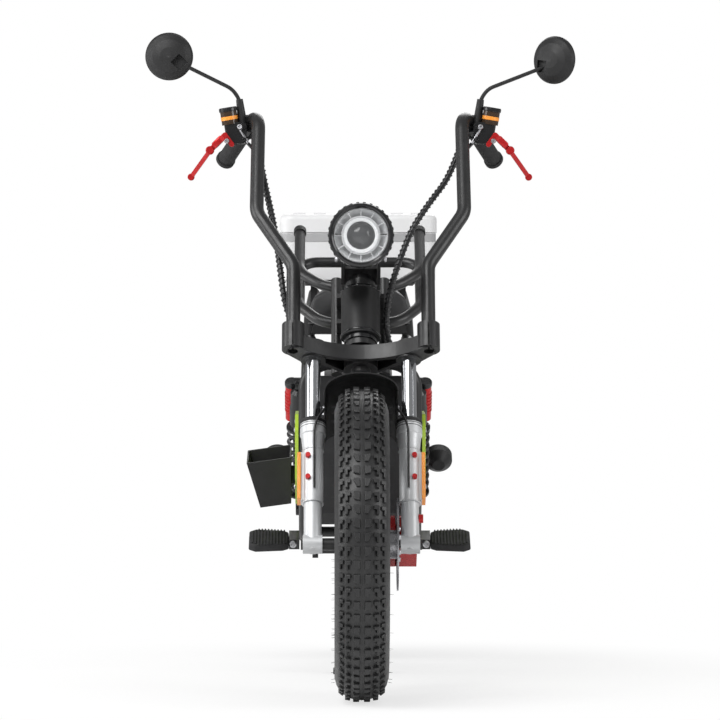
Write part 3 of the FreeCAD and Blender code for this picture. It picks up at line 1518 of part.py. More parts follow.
def indicators():
    """Round rear indicators on stems from straps that stand on the swingarm."""
    lamps = []
    face = size("arm_spread") + 8
    middle = Vector(0, AFT - 39, 440)
    for side in (-1, 1):
        centre = middle + Vector(side * 180, 0, 0)
        dome = Part.makeCylinder(31, 20, centre + Vector(0, 14, 0), Vector(0, -1, 0))
        back = Part.makeCone(31, 14, 18, centre - Vector(0, 6, 0), Vector(0, -1, 0))
        lamp = dome.fuse(back)
        lamp.rotate(centre, Vector(1, 0, 0), 35)
        stem = Part.makeCylinder(7, 62, middle + Vector(side * (face + 2), 0, 0), Vector(side, 0, 0))
        start = face if side > 0 else -face - 5
        strap = Part.makeBox(5, 26, 130, Vector(start, middle.y - 13, 324))
        lamps.append(lamp.fuse([stem, strap]))
    keep(feature("indicator_domes", Part.makeCompound(lamps)), "rear_indicators")


indicators()


# Mirror back turned about its middle: out from the middle, and forward of the glass
MIRROR_DOME = ((0, 0), (49, 0), (49, 4), (45, 10), (34, 17), (18, 22), (0, 23.5))


def mirrors():
    """Round mirrors with domed backs on bent rods that stand in boots on the brake cylinders."""
    backs = []
    glasses = []
    reach = size("mirror_reach")
    radius = size("mirror_radius")
    down = Vector(0, 0, -13)
    for side, turn, high in ((-1, 0, 1283), (1, 35, 1276)):
        lean = math.radians(turn)
        centre = Vector(side * (reach - radius * math.cos(lean)), CONTROL_Y + 3, high)
        way = Vector(side * math.sin(lean), math.cos(lean), 0)
        inward = Vector(-side * math.cos(lean), math.sin(lean), 0)
        profile = [Vector(across, 0, forward) for across, forward in MIRROR_DOME]
        dome = Part.Face(Part.makePolygon(profile + profile[:1])).revolve(Vector(), Vector(0, 0, 1), 360)
        facing = Placement(centre, Rotation(Vector(0, 0, 1), -way))
        dome = dome.transformed(facing.toMatrix())
        socket = centre + inward * 21 + down - way * 10
        recess = Part.makeBox(24, 24, 20, Vector(-12, -12, 0))
        recess = recess.transformed(Placement(Vector(), Rotation(Vector(0, 0, 1), 45)).toMatrix())
        recess = recess.transformed(Placement(socket, facing.Rotation).toMatrix())
        boot_foot = Vector(side * 240, CONTROL_Y + 9, 1142)
        boot_top = Vector(side * 247, CONTROL_Y + 7, 1196)
        boot_way = boot_top - boot_foot
        boot = Part.makeCone(10, 7, boot_way.Length, boot_foot, boot_way)
        stem = rod([boot_foot, boot_top, Vector(side * 262, CONTROL_Y + 2, 1217), socket + way * 4], 4)
        backs.append(dome.cut(recess).fuse([boot, stem]))
        glasses.append(Part.makeCylinder(radius - 3, 2, centre, way))
    fitted = ("brake_cylinders", "fluid_cups", "handlebar")
    solids = [item.Shape for item in SUBPARTS if item.Label in fitted]
    keep(feature("mirror_domes", Part.makeCompound([back.cut(solids) for back in backs])), "mirror_backs")
    keep(feature("mirror_glasses", Part.makeCompound(glasses)), "mirror_glass")


mirrors()


def rear_fender():
    """Arched sheet over the rear tyre, hung from the rack, with the tail light at its end."""
    outer = size("tyre_radius") + 46
    centre = REAR_AXLE
    sheet_outer = Part.makeCylinder(outer + 3, 150, centre - Vector(75, 0, 0), Vector(1, 0, 0))
    sheet_inner = Part.makeCylinder(outer, 150, centre - Vector(75, 0, 0), Vector(1, 0, 0))
    keeper = arm_plate(
        [
            (centre.y, centre.z),
            (centre.y - 330, centre.z + 260),
            (centre.y - 100, centre.z + 480),
            (centre.y + 300, centre.z + 380),
        ],
        150,
        -75,
    )
    arch = sheet_outer.cut(sheet_inner).common(keeper)
    hangers = []
    for place in (centre.y - 80, centre.y + 50):
        top = size("rack_high") - 8
        low = centre.z + math.sqrt(outer * outer - (place - centre.y) ** 2)
        hangers.append(Part.makeBox(12, 12, top - low - 1, Vector(-6, place - 6, low + 1)))
    bars = next(item for item in SUBPARTS if item.Label == "rear_rack").Shape
    whole = arch.fuse(hangers).cut(bars)
    keep(feature("rear_arch", whole), "rear_fender")
    lamp = Part.makeBox(110, 22, 40, Vector(-55, AFT - size("cooler_ahead") + 145 + size("seat_gap"), size("rack_high") - 44))
    keep(feature("tail_block", lamp), "tail_light")


rear_fender()


def check_and_write():
    doc.recompute()
    for item in doc.Objects:
        if "Invalid" in item.State or "Error" in item.State:
            raise RuntimeError(f"{item.Label} failed: {item.getStatusString()}")
    os.makedirs("parts", exist_ok=True)
    for item in SUBPARTS:
        shape = item.Shape
        if shape.isNull() or not shape.isValid():
            raise RuntimeError(f"{item.Label} has no valid shape")
        shape.exportStep(f"parts/{item.Label}.step")
        print(item.Label, len(shape.Solids), round(shape.Volume / 1000, 1), "cm3")


check_and_write()
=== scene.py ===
"""Electric golf scooter: finishes, tyres, seat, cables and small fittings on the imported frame."""
import math

import bpy
from mathutils import Matrix, Vector


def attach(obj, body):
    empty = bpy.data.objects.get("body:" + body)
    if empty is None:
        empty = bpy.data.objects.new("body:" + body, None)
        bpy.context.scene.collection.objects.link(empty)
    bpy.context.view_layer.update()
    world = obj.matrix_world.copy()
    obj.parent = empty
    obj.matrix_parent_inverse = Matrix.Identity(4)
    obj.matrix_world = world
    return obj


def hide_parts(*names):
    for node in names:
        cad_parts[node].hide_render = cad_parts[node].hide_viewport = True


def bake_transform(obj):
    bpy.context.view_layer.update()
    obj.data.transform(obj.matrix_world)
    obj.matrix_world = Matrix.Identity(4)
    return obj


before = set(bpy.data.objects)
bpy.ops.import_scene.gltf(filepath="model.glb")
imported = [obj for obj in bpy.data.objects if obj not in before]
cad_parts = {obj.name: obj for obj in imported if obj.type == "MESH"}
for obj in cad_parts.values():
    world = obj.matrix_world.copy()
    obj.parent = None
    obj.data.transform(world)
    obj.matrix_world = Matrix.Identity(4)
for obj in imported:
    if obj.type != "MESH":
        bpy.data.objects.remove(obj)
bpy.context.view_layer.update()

bl_info = {
    "name": "Golf scooter dressing",
    "version": (1, 0, 0),
    "blender": (4, 5, 0),
    "location": "View3D > Sidebar > Scooter",
    "description": "Finishes the scooter's frame with tyres, seat, cables and small fittings",
    "category": "Object",
}

RAKE = math.radians(28)
AXLE_HEIGHT = 0.305
FRONT_AXLE_Y = -0.645
REAR_AXLE_Y = 0.645
BACK = Vector((0, math.cos(RAKE), -math.sin(RAKE)))
UP = Vector((0, math.sin(RAKE), math.cos(RAKE)))
STEER_BASE = Vector((0, FRONT_AXLE_Y, AXLE_HEIGHT)) + BACK * 0.040


def from_steer(across, behind, high):
    """A place drawn along the steering axis, in the scooter's own frame."""
    return STEER_BASE + Vector((across, 0, 0)) + BACK * behind + UP * high


# Modelling helpers


def clear():
    """Leave edit mode and deselect everything."""
    if bpy.context.mode != "OBJECT":
        bpy.ops.object.mode_set(mode="OBJECT")
    bpy.ops.object.select_all(action="DESELECT")


def hold(piece):
    """Make one piece the only selected and the active one."""
    clear()
    piece.select_set(True)
    bpy.context.view_layer.objects.active = piece


def start(kind, name, **where):
    """Add a primitive at its size and place."""
    clear()
    getattr(bpy.ops.mesh, f"primitive_{kind}_add")(**where)
    piece = bpy.context.object
    piece.name = name
    piece.data.name = name
    return piece


def edit(piece, kind="FACE"):
    """Enter edit mode on one piece with all of it selected."""
    hold(piece)
    bpy.ops.object.mode_set(mode="EDIT")
    bpy.ops.mesh.select_mode(type=kind)
    bpy.ops.mesh.select_all(action="SELECT")


def close(piece):
    """Merge doubles, turn the faces outwards and leave edit mode."""
    bpy.ops.mesh.select_all(action="SELECT")
    bpy.ops.mesh.remove_doubles(threshold=0.00001)
    bpy.ops.mesh.normals_make_consistent(inside=False)
    bpy.ops.object.mode_set(mode="OBJECT")
    return piece


def settle(piece, move=None):
    """Put a piece's place into its mesh."""
    hold(piece)
    if move is not None:
        piece.matrix_world = move @ piece.matrix_world
    bpy.ops.object.transform_apply(location=True, rotation=True, scale=True)
    return piece


def shade(piece, finish, angle):
    """Shade a piece and give it the finish of that name."""
    hold(piece)
    bpy.ops.object.shade_smooth_by_angle(angle=math.radians(angle))
    piece.data.materials.clear()
    piece.data.materials.append(FINISHES[finish])


def polish(piece, body, finish, angle=35):
    """Shade a piece, give it its finish and let it ride on its body."""
    shade(piece, finish, angle)
    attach(piece, body)
    return piece


def apply(piece, kind, **settings):
    """Add a modifier and apply it."""
    hold(piece)
    modifier = piece.modifiers.new(kind.title(), kind)
    for name, value in settings.items():
        setattr(modifier, name, value)
    bpy.ops.object.modifier_apply(modifier=modifier.name)
    return piece


def lathe(name, profile, steps=48):
    """A closed profile of (radius, height) points spun round Z."""
    piece = start("circle", name, vertices=len(profile), radius=1)
    for vert, (radius, height) in zip(piece.data.vertices, profile):
        vert.co = (radius, 0, height)
    edit(piece, "VERT")
    bpy.ops.mesh.spin(steps=steps, angle=math.tau, center=(0, 0, 0), axis=(0, 0, 1))
    return close(piece)


def axis_frame(place, axis):
    """A matrix that puts Z along an axis at a place."""
    turn = Vector((0, 0, 1)).rotation_difference(Vector(axis).normalized())
    return Matrix.Translation(Vector(place)) @ turn.to_matrix().to_4x4()


def join(name, parts):
    """Join pieces into one."""
    clear()
    for part in parts:
        part.select_set(True)
    bpy.context.view_layer.objects.active = parts[0]
    if len(parts) > 1:
        bpy.ops.object.join()
    parts[0].name = name
    parts[0].data.name = name
    return parts[0]


def again(piece, move):
    """A copy of a piece with its own mesh, moved by a matrix."""
    copy = piece.copy()
    copy.data = piece.data.copy()
    bpy.context.scene.collection.objects.link(copy)
    return settle(copy, move)


# Finishes


class Finish:
    """A node material whose grain and wear are drawn on the piece's own coordinates."""

    def __init__(self, name, colour, roughness, metallic=0.0):
        self.material = bpy.data.materials.new(name)
        self.material.use_nodes = True
        self.nodes = self.material.node_tree.nodes
        self.links = self.material.node_tree.links
        self.nodes.clear()
        self.out = self.nodes.new("ShaderNodeOutputMaterial")
        self.shader = self.nodes.new("ShaderNodeBsdfPrincipled")
        self.links.new(self.shader.outputs[0], self.out.inputs[0])
        self.set("Base Color", (*colour, 1))
        self.set("Roughness", roughness)
        self.set("Metallic", metallic)
        self.place = self.nodes.new("ShaderNodeTexCoord").outputs["Object"]
        self.colour = colour
        self.roughness = roughness
        self.normal = None

    def set(self, socket, value):
        """Give one socket of the shader a value."""
        self.shader.inputs[socket].default_value = value
        return self

    def noise(self, scale, detail=3, rough=0.5, stretch=None):
        """Noise on the piece's own coordinates, drawn out along an axis where asked."""
        where = self.place
        if stretch is not None:
            mapping = self.nodes.new("ShaderNodeMapping")
            mapping.inputs["Scale"].default_value = stretch
            self.links.new(where, mapping.inputs[0])
            where = mapping.outputs[0]
        node = self.nodes.new("ShaderNodeTexNoise")
        node.inputs["Scale"].default_value = scale
        node.inputs["Detail"].default_value = detail
        node.inputs["Roughness"].default_value = rough
        self.links.new(where, node.inputs["Vector"])
        return node.outputs["Fac"]

    def ramp(self, source, low, high, first, last):
        """Bring a source from one range to another."""
        node = self.nodes.new("ShaderNodeMapRange")
        node.inputs["From Min"].default_value = low
        node.inputs["From Max"].default_value = high
        node.inputs["To Min"].default_value = first
        node.inputs["To Max"].default_value = last
        self.links.new(source, node.inputs[0])
        return node.outputs[0]

    def tint(self, mask, colour):
        """Lay a colour over the base where the mask is high."""
        node = self.nodes.new("ShaderNodeMix")
        node.data_type = "RGBA"
        base = self.shader.inputs["Base Color"]
        if base.is_linked:
            self.links.new(base.links[0].from_socket, node.inputs[6])
        else:
            node.inputs[6].default_value = base.default_value
        node.inputs[7].default_value = (*colour, 1)
        self.links.new(mask, node.inputs[0])
        self.links.new(node.outputs[2], base)
        return self

    def cloud(self, scale, colour, low, high, most):
        """Broad patches of another tone, such as dust or handling marks."""
        return self.tint(self.ramp(self.noise(scale, 5, 0.6), low, high, 0, most), colour)

    def gloss(self, scale, spread, stretch=None):
        """Let the roughness wander by a spread either way."""
        source = self.noise(scale, 4, 0.6, stretch)
        low = max(self.roughness - spread, 0.02)
        value = self.ramp(source, 0.3, 0.7, low, min(self.roughness + spread, 1))
        self.links.new(value, self.shader.inputs["Roughness"])
        return self

    def bump(self, height, depth, strength=1.0):
        """Raise the surface by a height field, depth in metres."""
        node = self.nodes.new("ShaderNodeBump")
        node.inputs["Strength"].default_value = strength
        node.inputs["Distance"].default_value = depth
        self.links.new(height, node.inputs["Height"])
        if self.normal is not None:
            self.links.new(self.normal, node.inputs["Normal"])
        self.normal = node.outputs[0]
        self.links.new(self.normal, self.shader.inputs["Normal"])
        return self

    def soften(self, radius):
        """Round the edges by eye, as a casting or a pressed sheet has them."""
        node = self.nodes.new("ShaderNodeBevel")
        node.samples = 4
        node.inputs["Radius"].default_value = radius
        self.normal = node.outputs[0]
        self.links.new(self.normal, self.shader.inputs["Normal"])
        return self

    def grain(self, scale, depth, stretch=None, detail=3):
        """Fine noise raised by a depth in metres."""
        return self.bump(self.noise(scale, detail, 0.55, stretch), depth)


def make_finishes():
    """Every finish on the scooter, by a plain name."""
    look = bpy.context.scene.scooter_looks
    made = {}

    def new(name, colour, roughness, metallic=0.0):
        made[name] = Finish(name, colour, roughness, metallic)
        return made[name]

    tyre = new("tyre_rubber", look.rubber, 0.42)
    tyre.cloud(24, (0.04, 0.04, 0.039), 0.48, 0.8, 0.55).gloss(60, 0.09).grain(900, 0.0002)
    new("grip_rubber", (0.018, 0.018, 0.019), 0.78).gloss(70, 0.08).grain(1400, 0.0002)
    metal = new("powder_coat", look.frame_black, 0.4)
    metal.soften(0.0012).cloud(14, (0.03, 0.03, 0.032), 0.5, 0.85, 0.5).gloss(45, 0.08)
    metal.grain(1300, 0.00007).set("Coat Weight", 0.12)
    cast = new("cast_black", (0.016, 0.016, 0.017), 0.5)
    cast.soften(0.002).cloud(30, (0.035, 0.035, 0.037), 0.5, 0.8, 0.5).grain(700, 0.00015)
    plastic = new("moulded_black", (0.012, 0.012, 0.0125), 0.5)
    plastic.set("Specular IOR Level", 0.4).soften(0.0015)
    plastic.cloud(18, (0.026, 0.026, 0.027), 0.5, 0.82, 0.5).gloss(50, 0.08)
    plastic.grain(1600, 0.00012)
    new("gloss_black", (0.012, 0.012, 0.013), 0.16).soften(0.001).gloss(30, 0.06).grain(300, 0.00002)
    silver = new("silver_paint", look.silver, 0.4, 0.3)
    silver.soften(0.0015).cloud(20, (0.42, 0.43, 0.44), 0.5, 0.85, 0.5).gloss(60, 0.07)
    silver.grain(1500, 0.00004)
    chrome = new("hard_chrome", (0.5, 0.51, 0.53), 0.14, 1.0)
    chrome.gloss(40, 0.05, (1, 1, 0.2)).grain(500, 0.00001, (1, 1, 0.1))
    steel = new("zinc_steel", (0.5, 0.5, 0.52), 0.34, 1.0)
    steel.soften(0.0006).cloud(60, (0.3, 0.3, 0.31), 0.5, 0.8, 0.6).gloss(80, 0.1)
    steel.grain(700, 0.00005)
    disc = new("disc_steel", (0.42, 0.42, 0.44), 0.3, 1.0)
    disc.cloud(30, (0.2, 0.2, 0.21), 0.5, 0.8, 0.5).gloss(90, 0.1).grain(240, 0.00004, (0.1, 1, 1))
    red = new("red_anodised", look.red, 0.28, 0.35)
    red.soften(0.0008).cloud(50, (0.3, 0.012, 0.01), 0.5, 0.85, 0.6).gloss(70, 0.08)
    red.grain(900, 0.00004)
    lime = new("lime_paint", look.lime, 0.3)
    lime.soften(0.001).cloud(16, (0.3, 0.46, 0.03), 0.5, 0.85, 0.4).gloss(40, 0.06)
    lime.grain(800, 0.00004).set("Coat Weight", 0.3)
    amber = new("amber_reflector", (0.92, 0.26, 0.02), 0.2)
    cells = amber.nodes.new("ShaderNodeTexVoronoi")
    cells.inputs["Scale"].default_value = 420
    amber.links.new(amber.place, cells.inputs["Vector"])
    amber.bump(cells.outputs["Distance"], 0.0006, 0.6)
    amber.tint(amber.ramp(cells.outputs["Distance"], 0.1, 0.7, 0, 0.5), (0.98, 0.5, 0.1))
    smoked = new("smoked_cup", (0.06, 0.035, 0.02), 0.14)
    smoked.gloss(50, 0.05).grain(400, 0.00002).set("Transmission Weight", 0.35)
    tail = new("red_lens", (0.42, 0.01, 0.012), 0.14)
    bars = tail.nodes.new("ShaderNodeTexWave")
    bars.inputs["Scale"].default_value = 60
    tail.links.new(tail.place, bars.inputs["Vector"])
    tail.bump(bars.outputs["Fac"], 0.0006, 0.5).gloss(60, 0.05)
    lens = new("clear_lens", (0.9, 0.92, 0.94), 0.04)
    lens.set("Alpha", 0.05).set("IOR", 1.5).grain(60, 0.00002)
    new("mirror_glass", (0.85, 0.86, 0.88), 0.03, 1.0).gloss(20, 0.02).grain(90, 0.000005)
    seat = new("seat_cover", (0.013, 0.013, 0.014), 0.5)
    seat.cloud(12, (0.028, 0.028, 0.03), 0.5, 0.8, 0.6).gloss(30, 0.08)
    seat.grain(700, 0.0003, None, 6).set("Sheen Weight", 0.1)
    white = new("white_plastic", look.white, 0.42)
    white.soften(0.002).cloud(9, (0.62, 0.62, 0.615), 0.5, 0.85, 0.5).gloss(30, 0.07)
    white.grain(1100, 0.00008)
    grey = new("grey_plastic", (0.36, 0.36, 0.365), 0.5)
    grey.soften(0.001).cloud(20, (0.28, 0.28, 0.285), 0.5, 0.85, 0.5).grain(1100, 0.00008)
    wrap = new("spiral_wrap", (0.014, 0.014, 0.015), 0.34)
    wrap.cloud(40, (0.05, 0.05, 0.052), 0.5, 0.8, 0.5).grain(900, 0.00008)
    # The reflector bowl is chrome; its near-white, barely metallic colour is painted reflection, standing in
    # for the bright room mirrored in it
    reflector = new("lamp_reflector", (0.92, 0.93, 0.94), 0.16, 0.2)
    facets = reflector.nodes.new("ShaderNodeTexVoronoi")
    facets.inputs["Scale"].default_value = 110
    reflector.links.new(reflector.place, facets.inputs["Vector"])
    reflector.bump(facets.outputs["Distance"], 0.001, 0.35)
    ring = new("ring_white", (0.86, 0.87, 0.88), 0.25)
    ring.gloss(60, 0.06).grain(500, 0.00003)
    dark = new("dark_glass", (0.004, 0.0045, 0.005), 0.08)
    dark.gloss(30, 0.02).grain(80, 0.00001)
    return {name: finish.material for name, finish in made.items()}


FINISHES = {}

# Each frame node's finish
NODE_FINISH = {
    "tyre_rubber": ("front_tyre", "rear_tyre"),
    "cast_black": ("front_wheel", "rear_wheel", "battery_case"),
    "disc_steel": ("front_disc", "rear_disc"),
    "silver_paint": ("fork_sliders",),
    "hard_chrome": ("fork_stanchions",),
    "zinc_steel": ("rear_axle",),
    "powder_coat": (
        "front_axle", "crown", "handlebar", "headlight_bracket", "steering_stem", "fender_stays",
        "head_tube", "frame",
        "bag_carrier", "bag_base", "rear_rack", "swingarm", "rear_shocks", "peg_brackets",
        "stand_mount", "centre_stand",
    ),
    "moulded_black": (
        "headlight_shell", "front_fender", "mirror_backs", "head_cover", "seat_base", "cup_box",
        "rear_indicators", "rear_fender", "foot_pegs",
    ),
    "gloss_black": ("headlight_optic", "brake_cylinders"),
    "grip_rubber": ("grips", "cable_right", "cable_left"),
    "red_anodised": (
        "front_calliper", "rear_calliper", "brake_levers", "fork_bolts", "shock_reservoirs",
    ),
    "lime_paint": ("side_panel_right", "side_panel_left"),
    "amber_reflector": ("side_reflectors",),
    "smoked_cup": ("fluid_cups",),
    "red_lens": ("tail_light",),
    "clear_lens": ("headlight_lens",),
    "mirror_glass": ("mirror_glass",),
    "seat_cover": ("seat_cushion",),
    "white_plastic": ("cooler_body", "cooler_lid"),
}


class ScooterLooks(bpy.types.PropertyGroup):
    """Colours and light that a user would change."""

    rubber: bpy.props.FloatVectorProperty(
        name="Tyre rubber", description="Colour of the tyres", subtype="COLOR",
        default=(0.016, 0.016, 0.0165), min=0, max=1,
    )
    frame_black: bpy.props.FloatVectorProperty(
        name="Frame black", description="Powder coat on the tubes", subtype="COLOR",
        default=(0.012, 0.012, 0.0125), min=0, max=1,
    )
    silver: bpy.props.FloatVectorProperty(
        name="Fork silver", description="Paint on the fork legs", subtype="COLOR",
        default=(0.6, 0.61, 0.62), min=0, max=1,
    )
    red: bpy.props.FloatVectorProperty(
        name="Red fittings", description="Levers, callipers and reservoirs", subtype="COLOR",
        default=(0.5, 0.012, 0.014), min=0, max=1,
    )
    lime: bpy.props.FloatVectorProperty(
        name="Side panels", description="Paint on the side panels", subtype="COLOR",
        default=(0.46, 0.66, 0.05), min=0, max=1,
    )
    white: bpy.props.FloatVectorProperty(
        name="Cooler white", description="Plastic of the cooler", subtype="COLOR",
        default=(0.72, 0.72, 0.725), min=0, max=1,
    )
    key_power: bpy.props.FloatProperty(
        name="Key light", description="Power of the large soft lamp", default=200, min=0, unit="POWER"
    )
    fill_power: bpy.props.FloatProperty(
        name="Fill light", description="Power of the side lamps", default=70, min=0, unit="POWER"
    )
    sky: bpy.props.FloatProperty(
        name="Room light", description="Strength of the even light", default=0.34, min=0, max=2,
        subtype="FACTOR",
    )


class ScooterSizes(bpy.types.PropertyGroup):
    """Sizes that a user would change."""

    camera_back: bpy.props.FloatProperty(
        name="Camera distance", description="Camera ahead of the origin", default=8.645, min=1,
        unit="LENGTH",
    )
    camera_height: bpy.props.FloatProperty(
        name="Camera height", description="Camera above the floor", default=0.662, min=0,
        unit="LENGTH",
    )
    camera_lens: bpy.props.FloatProperty(
        name="Lens", description="Focal length", default=206.5, min=20, unit="CAMERA"
    )
    floor: bpy.props.FloatProperty(
        name="Floor", description="Side of the floor", default=60, min=4, unit="LENGTH"
    )


def eye_ray(nodes, links):
    """One for a ray from the camera or through glass, else nought."""
    path = nodes.new("ShaderNodeLightPath")
    seen = nodes.new("ShaderNodeMath")
    seen.operation = "MAXIMUM"
    links.new(path.outputs["Is Camera Ray"], seen.inputs[0])
    links.new(path.outputs["Is Transmission Ray"], seen.inputs[1])
    return seen.outputs[0]


AIM_HEIGHT = 0.6
CAMERA_ACROSS = -0.0516
CAMERA_TURN = math.radians(-0.349)


class SCOOTER_OT_stage(bpy.types.Operator):
    """Floor, backdrop light, lamps and the camera"""

    bl_idname = "scooter.stage"
    bl_label = "Stage and camera"

    def execute(self, context):
        look = context.scene.scooter_looks
        sizes = context.scene.scooter_sizes
        floor = start("plane", "studio_floor", size=sizes.floor, location=(0, 0, 0))
        settle(floor)
        floor.data.materials.append(self.floor_finish())
        lamps = (
            ("key", (-2.2, -3.4, 4.2), 3.2, look.key_power),
            ("left", (3.8, -2.2, 2.2), 2.4, look.fill_power),
            ("right", (-4.0, -0.6, 1.8), 2.4, look.fill_power),
            ("back", (0.6, 3.6, 3.4), 2.6, look.fill_power),
        )
        for name, place, side, power in lamps:
            light = bpy.data.lights.new("lamp_" + name, "AREA")
            light.size = side
            light.energy = power
            lamp = bpy.data.objects.new("lamp_" + name, light)
            context.scene.collection.objects.link(lamp)
            lamp.location = place
            aim = Vector((0, 0, AIM_HEIGHT)) - Vector(place)
            lamp.rotation_euler = aim.to_track_quat("-Z", "Y").to_euler()
        self.room(context, look.sky)
        camera = bpy.data.cameras.new("camera")
        camera.lens = sizes.camera_lens
        camera.sensor_width = 36
        camera.clip_end = 200
        eye = bpy.data.objects.new("camera", camera)
        context.scene.collection.objects.link(eye)
        eye.location = (CAMERA_ACROSS, -sizes.camera_back, sizes.camera_height)
        eye.rotation_euler = (math.radians(90), 0, CAMERA_TURN)
        context.scene.camera = eye
        context.scene.view_settings.view_transform = "Standard"
        return {"FINISHED"}

    def floor_finish(self):
        """White paper that fades out to the backdrop away from the scooter."""
        material = bpy.data.materials.new("studio_paper")
        material.use_nodes = True
        nodes, links = material.node_tree.nodes, material.node_tree.links
        shader = nodes["Principled BSDF"]
        grain = nodes.new("ShaderNodeTexNoise")
        grain.inputs["Scale"].default_value = 3
        where = nodes.new("ShaderNodeTexCoord")
        links.new(where.outputs["Object"], grain.inputs["Vector"])
        tone = nodes.new("ShaderNodeMapRange")
        tone.inputs["To Min"].default_value = 0.9
        tone.inputs["To Max"].default_value = 0.94
        links.new(grain.outputs["Fac"], tone.inputs[0])
        links.new(tone.outputs[0], shader.inputs["Base Color"])
        shader.inputs["Roughness"].default_value = 0.9
        shader.inputs["Specular IOR Level"].default_value = 0.1
        away = nodes.new("ShaderNodeVectorMath")
        away.operation = "LENGTH"
        links.new(where.outputs["Object"], away.inputs[0])
        fade = nodes.new("ShaderNodeMapRange")
        fade.interpolation_type = "SMOOTHSTEP"
        for socket, value in (("From Min", 0.62), ("From Max", 1.2), ("To Min", 0.68), ("To Max", 1.0)):
            fade.inputs[socket].default_value = value
        links.new(away.outputs["Value"], fade.inputs[0])
        share = nodes.new("ShaderNodeMath")
        share.operation = "MULTIPLY"
        links.new(fade.outputs[0], share.inputs[0])
        links.new(eye_ray(nodes, links), share.inputs[1])
        white = nodes.new("ShaderNodeEmission")
        mix = nodes.new("ShaderNodeMixShader")
        links.new(share.outputs[0], mix.inputs[0])
        links.new(shader.outputs[0], mix.inputs[1])
        links.new(white.outputs[0], mix.inputs[2])
        links.new(mix.outputs[0], nodes["Material Output"].inputs[0])
        return material

    def room(self, context, strength):
        """White to the eye, and dimmer as a light."""
        world = bpy.data.worlds.new("studio_room")
        context.scene.world = world
        world.use_nodes = True
        nodes, links = world.node_tree.nodes, world.node_tree.links
        back = nodes["Background"]
        back.inputs["Color"].default_value = (1, 1, 1, 1)
        level = nodes.new("ShaderNodeMapRange")
        level.inputs["To Min"].default_value = strength
        level.inputs["To Max"].default_value = 1.0
        links.new(eye_ray(nodes, links), level.inputs[0])
        links.new(level.outputs[0], back.inputs["Strength"])


class SCOOTER_OT_finishes(bpy.types.Operator):
    """Finishes on the frame's own nodes"""

    bl_idname = "scooter.finishes"
    bl_label = "Finishes"

    def execute(self, context):
        FINISHES.update(make_finishes())
        for name, nodes in NODE_FINISH.items():
            for node in nodes:
                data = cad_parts[node].data
                data.materials.clear()
                data.materials.append(FINISHES[name])
        return {"FINISHED"}


def prism(name, outline, high, taper, soft):
    """A flat outline drawn up into a block, narrower at the top, with softened edges."""
    piece = start("circle", name, vertices=len(outline), radius=1, fill_type="NGON")
    for vert, (across, along) in zip(piece.data.vertices, outline):
        vert.co = (across, along, 0)
    edit(piece)
    bpy.ops.mesh.extrude_region_move(TRANSFORM_OT_translate={"value": (0, 0, high)})
    middle = [sum(values) / len(outline) for values in zip(*outline)]
    bpy.ops.transform.resize(value=(taper, taper, 1), center_override=(*middle, high))
    bpy.ops.mesh.select_all(action="SELECT")
    bpy.ops.mesh.bevel(offset=soft, segments=1, affect="EDGES")
    return close(piece)


def ring_of(piece, count, centre, axis):
    """Repeat a piece evenly round an axis, all in one mesh."""
    edit(piece)
    share = math.tau * (count - 1) / count
    bpy.ops.mesh.spin(steps=count - 1, dupli=True, angle=share, center=centre, axis=axis)
    return close(piece)


def rounded_box(name, size, place, soft, segments=2):
    """A box with rounded edges at its middle."""
    piece = start("cube", name, size=1, location=place)
    piece.scale = size
    settle(piece)
    edit(piece)
    bpy.ops.mesh.bevel(offset=soft, segments=segments, affect="EDGES")
    return close(piece)


def bolt_mesh(name, radius, high):
    """A domed socket screw head on Z, with its hexagon hole."""
    profile = [(0.0001, 0), (radius, 0), (radius, high * 0.6), (radius * 0.8, high), (0.0001, high)]
    piece = lathe(name, profile, 20)
    hole = start("cylinder", name + "_hole", vertices=6, radius=radius * 0.5, depth=high,
                 location=(0, 0, high * 0.95))
    return apply_cut(piece, hole)


def apply_cut(piece, tool):
    """Take a tool's form out of a piece, and the tool away."""
    apply(piece, "BOOLEAN", object=tool, operation="DIFFERENCE", solver="EXACT")
    bpy.data.objects.remove(tool)
    return piece


def bolts(name, places, axis, radius, high):
    """Like screws at several places, heads towards an axis."""
    first = bolt_mesh(name, radius, high)
    copies = [again(first, axis_frame(place, axis)) for place in places]
    bpy.data.objects.remove(first)
    return join(name, copies)


def curve_through(name, points, smooth, resolution):
    """A curve on its control points, rounded or straight between them."""
    curve = bpy.data.curves.new(name, "CURVE")
    curve.dimensions = "3D"
    spline = curve.splines.new("NURBS" if smooth else "POLY")
    spline.points.add(len(points) - 1)
    for point, place in zip(spline.points, points):
        point.co = (*place, 1)
    if smooth:
        spline.order_u = 3
        spline.use_endpoint_u = True
        spline.resolution_u = resolution
    piece = bpy.data.objects.new(name, curve)
    bpy.context.scene.collection.objects.link(piece)
    return piece


def wire(name, points, radius, smooth=True):
    """A round wire or hose along its control points, as a mesh."""
    piece = curve_through(name, points, smooth, 8)
    piece.data.bevel_depth = radius
    piece.data.bevel_resolution = 3
    piece.data.use_fill_caps = True
    hold(piece)
    bpy.ops.object.convert(target="MESH")
    return piece


def route_points(points):
    """Places along the smooth route that the control points hold."""
    holder = curve_through("route", points, True, 24)
    mesh = bpy.data.meshes.new_from_object(holder)
    places = [vert.co.copy() for vert in mesh.vertices]
    bpy.data.objects.remove(holder)
    return places


